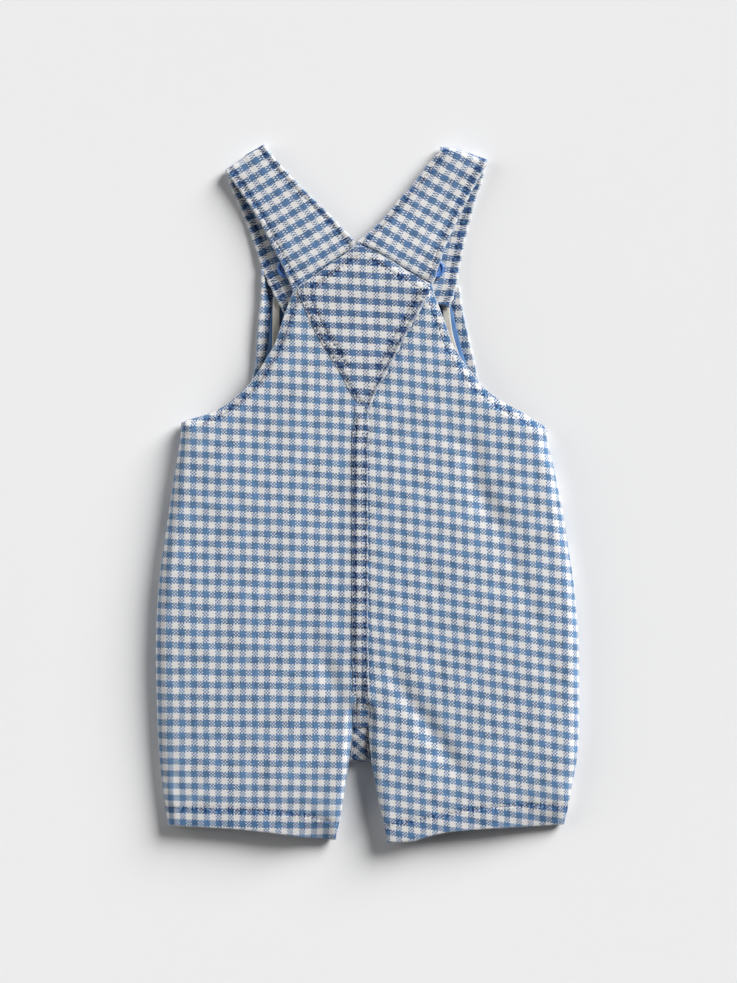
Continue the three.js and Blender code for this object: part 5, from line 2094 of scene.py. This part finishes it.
    def build(self) -> list[bpy.types.Object]:
        """Makes the strap, its stitches and its button."""
        name = "strap_" + self.side.name.lower()
        face = self.face()
        resting = ("front_bib", "back_" + self.side.name.lower())
        stitches = self.stitch(name, self.stitch_rows(face))
        made = [lay_cloth(name, face, self.cloths.strap, resting), stitches]
        place, normal = self.button_place()
        button = DishedButton(self.cloths)
        made.extend(button.build("strap_button_" + self.side.name.lower(), place, normal))
        return made


@dataclass
class DishedButton:
    """Dished button with a raised rim, four holes and crossed thread.

    Attributes:
        cloths: The materials.
        radius: Its radius.
        rim: Width of the rim.
        thickness: Its thickness.
        dish: Depth of the dish.
        hole: Radius of a hole.
        spread: Distance of each hole from the middle.
    """

    cloths: Cloths
    radius: float = 5.8
    rim: float = 1.3
    thickness: float = 2.4
    dish: float = 0.7
    hole: float = 0.75
    spread: float = 1.6

    def shape(self) -> MeshData:
        """The button along +Z.

        Formula: a turned profile with round edges, whose dish sinks by a bell round each of the four holes.
        """
        corner = np.linspace(0, np.pi / 2, 6)
        soft = 0.6
        floor = self.thickness - self.dish
        inner = self.radius - self.rim
        wide, top, fall = self.radius - soft, self.thickness - soft, floor - self.thickness
        outside = [(wide + soft * np.sin(a), soft - soft * np.cos(a)) for a in corner]
        upper = [(wide + soft * np.cos(a), top + soft * np.sin(a)) for a in corner]
        slope = [(inner - 0.7 * s, self.thickness + fall * (0.5 - 0.5 * math.cos(math.pi * s)))
                 for s in np.linspace(0, 1, 6)]
        middle = [(r, floor) for r in np.arange(inner - 0.95, 0.05, -0.22)]
        profile = np.array([(0.0, 0.0), (2.0, 0.0), *outside, *upper, *slope, *middle, (0.0, floor)])
        made = lathe(profile, 56)
        v = made.vertices
        for turn in range(4):
            angle = math.pi / 4 + turn * math.pi / 2
            far = np.hypot(v[:, 0] - self.spread * math.cos(angle), v[:, 1] - self.spread * math.sin(angle))
            depth = np.exp(-((far / self.hole) ** 4)) * 1.2
            v[:, 2] -= np.where(v[:, 2] > floor - 0.01, depth, 0)
        return made

    def build(self, name: str, place: Floats, normal: Floats) -> list[bpy.types.Object]:
        """Makes the button and its thread.

        Args:
            name: The solid's node.
            place: Middle of its underside.
            normal: Direction it faces.

        Returns:
            The pieces.
        """
        side = unit(np.cross(normal, np.array([0.0, 1.0, 0.0])))
        axes = np.stack([side, np.cross(normal, side), normal])
        made = self.shape()
        made.vertices = made.vertices @ axes + place
        piece = put_in_scene(name + "_moulded", made, self.cloths.plastic)
        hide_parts(name)
        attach(piece, "root")
        bars = []
        reach = self.spread * math.sqrt(0.5)
        for shift in (-reach, reach):
            steps = np.linspace(-1, 1, 5)
            height = self.thickness - self.dish + 0.15 - 0.35 * steps**4
            path = np.stack([steps * reach, np.full(5, shift), height], axis=1) @ axes + place
            bars.append((path, np.broadcast_to(normal, path.shape)))
        thick = Thread(pitch=3.0, length=2.6, radius=0.3)
        return [piece, sew_rows(name + "_thread", bars, thick, self.cloths)]


@dataclass(frozen=True)
class Studio:
    """Pale floor, soft light from the upper right and a camera straight above.

    Attributes:
        centre: Point of the floor in the middle of the picture.
        picture: Height of the floor that the picture shows.
        distance: Height of the camera above the garment.
        focus: Height above the floor at which the picture's scale holds.
        suns: Name, strength, angle that it fills, angle from straight above and turn from +X of each light.
        ambient: Strength of the even light.
    """

    centre: tuple[float, float] = (0.6, 0.6)
    picture: float = 589.8
    distance: float = 2200.0
    focus: float = 7.0
    suns: tuple[tuple[str, float, float, float, float], ...] = (
        ("soft_key", 5.6, 36.0, 64.0, 42.0),
        ("low_fill", 1.35, 46.0, 72.0, 168.0),
    )
    ambient: float = 0.075

    def build(self) -> None:
        """Makes the floor, the light and the camera."""
        self.lay_floor()
        self.set_light()
        self.set_camera()

    def lay_floor(self) -> None:
        """A wide flat floor whose corners bend up a little far away, at Z = 0 under the garment."""
        steps = np.linspace(-3000, 3000, 25)
        x, y = np.meshgrid(steps, steps)
        far = np.maximum(np.hypot(x, y) - 2400, 0)
        points = np.stack([x, y, -0.02 + far * 0.02], axis=-1)
        index = np.arange(x.size).reshape(x.shape)
        floor = put_in_scene("floor", MeshData(points.reshape(-1, 3), grid_faces(index)), PaleFloor().build())

    def set_light(self) -> None:
        """A broad key light, a low fill from the other side and an even world."""
        for name, strength, spread, from_above, turn in self.suns:
            light = bpy.data.lights.new(name, "SUN")
            light.energy = strength
            light.angle = math.radians(spread)
            lamp = bpy.data.objects.new(name, light)
            lamp.rotation_euler = (0.0, math.radians(from_above), math.radians(turn))
            bpy.context.scene.collection.objects.link(lamp)
        world = bpy.data.worlds.new("even_light")
        world.use_nodes = True
        background = world.node_tree.nodes["Background"]
        background.inputs["Color"].default_value = (0.985, 0.99, 1.0, 1.0)
        background.inputs["Strength"].default_value = self.ambient
        bpy.context.scene.world = world
        bpy.context.scene.view_settings.view_transform = "Standard"
        bpy.context.scene.view_settings.look = "None"

    def set_camera(self) -> None:
        """A long lens straight above, with the picture's long side on the sensor's width."""
        lens = bpy.data.cameras.new("camera")
        lens.sensor_width = 36.0
        lens.lens = lens.sensor_width * (self.distance - self.focus) / self.picture
        lens.clip_end = 20.0
        camera = bpy.data.objects.new("camera", lens)
        camera.location = (self.centre[0] * MM, self.centre[1] * MM, self.distance * MM)
        bpy.context.scene.collection.objects.link(camera)
        bpy.context.scene.camera = camera


def main() -> None:
    """Builds the dressed garment and its studio."""
    logging.basicConfig(level=logging.INFO, format="%(name)s: %(message)s")
    finishes = Finishes()
    cloths = Cloths(
        body=Gingham("gingham_body", finishes).build(),
        doubled=Gingham("gingham_doubled", finishes, dark=(0.078, 0.15, 0.285), lean=0.16).build(),
        strap=Gingham(
            "gingham_strap", finishes, dark=(0.092, 0.175, 0.32), depth=0.9, cells=(3.5, 10.0, 1.0), lean=0.12
        ).build(),
        chambray=PlainCloth("chambray", (0.085, 0.19, 0.42), (0.16, 0.30, 0.55)).build(),
        tape=PlainCloth("woven_tape", (0.60, 0.56, 0.49), (0.72, 0.69, 0.63)).build(),
        thread=SewingThread().build(),
        plastic=ButtonPlastic().build(),
    )
    form = BodyForm()
    seat = SeatSeam(form, cloths).build()
    assemblies = [
        BackPanels(form, cloths, seat=seat),
        BackYoke(form, cloths),
        CrotchGusset(form, cloths),
        FrontPanels(form, cloths),
        Bib(form, cloths),
        *(Strap(form, cloths, side) for side in Side),
    ]
    for assembly in assemblies:
        for piece in assembly.build():
            LOG.info("made %s with %s", piece.name, type(assembly).__name__)
    Studio().build()


if __name__ == "__main__":
    main()
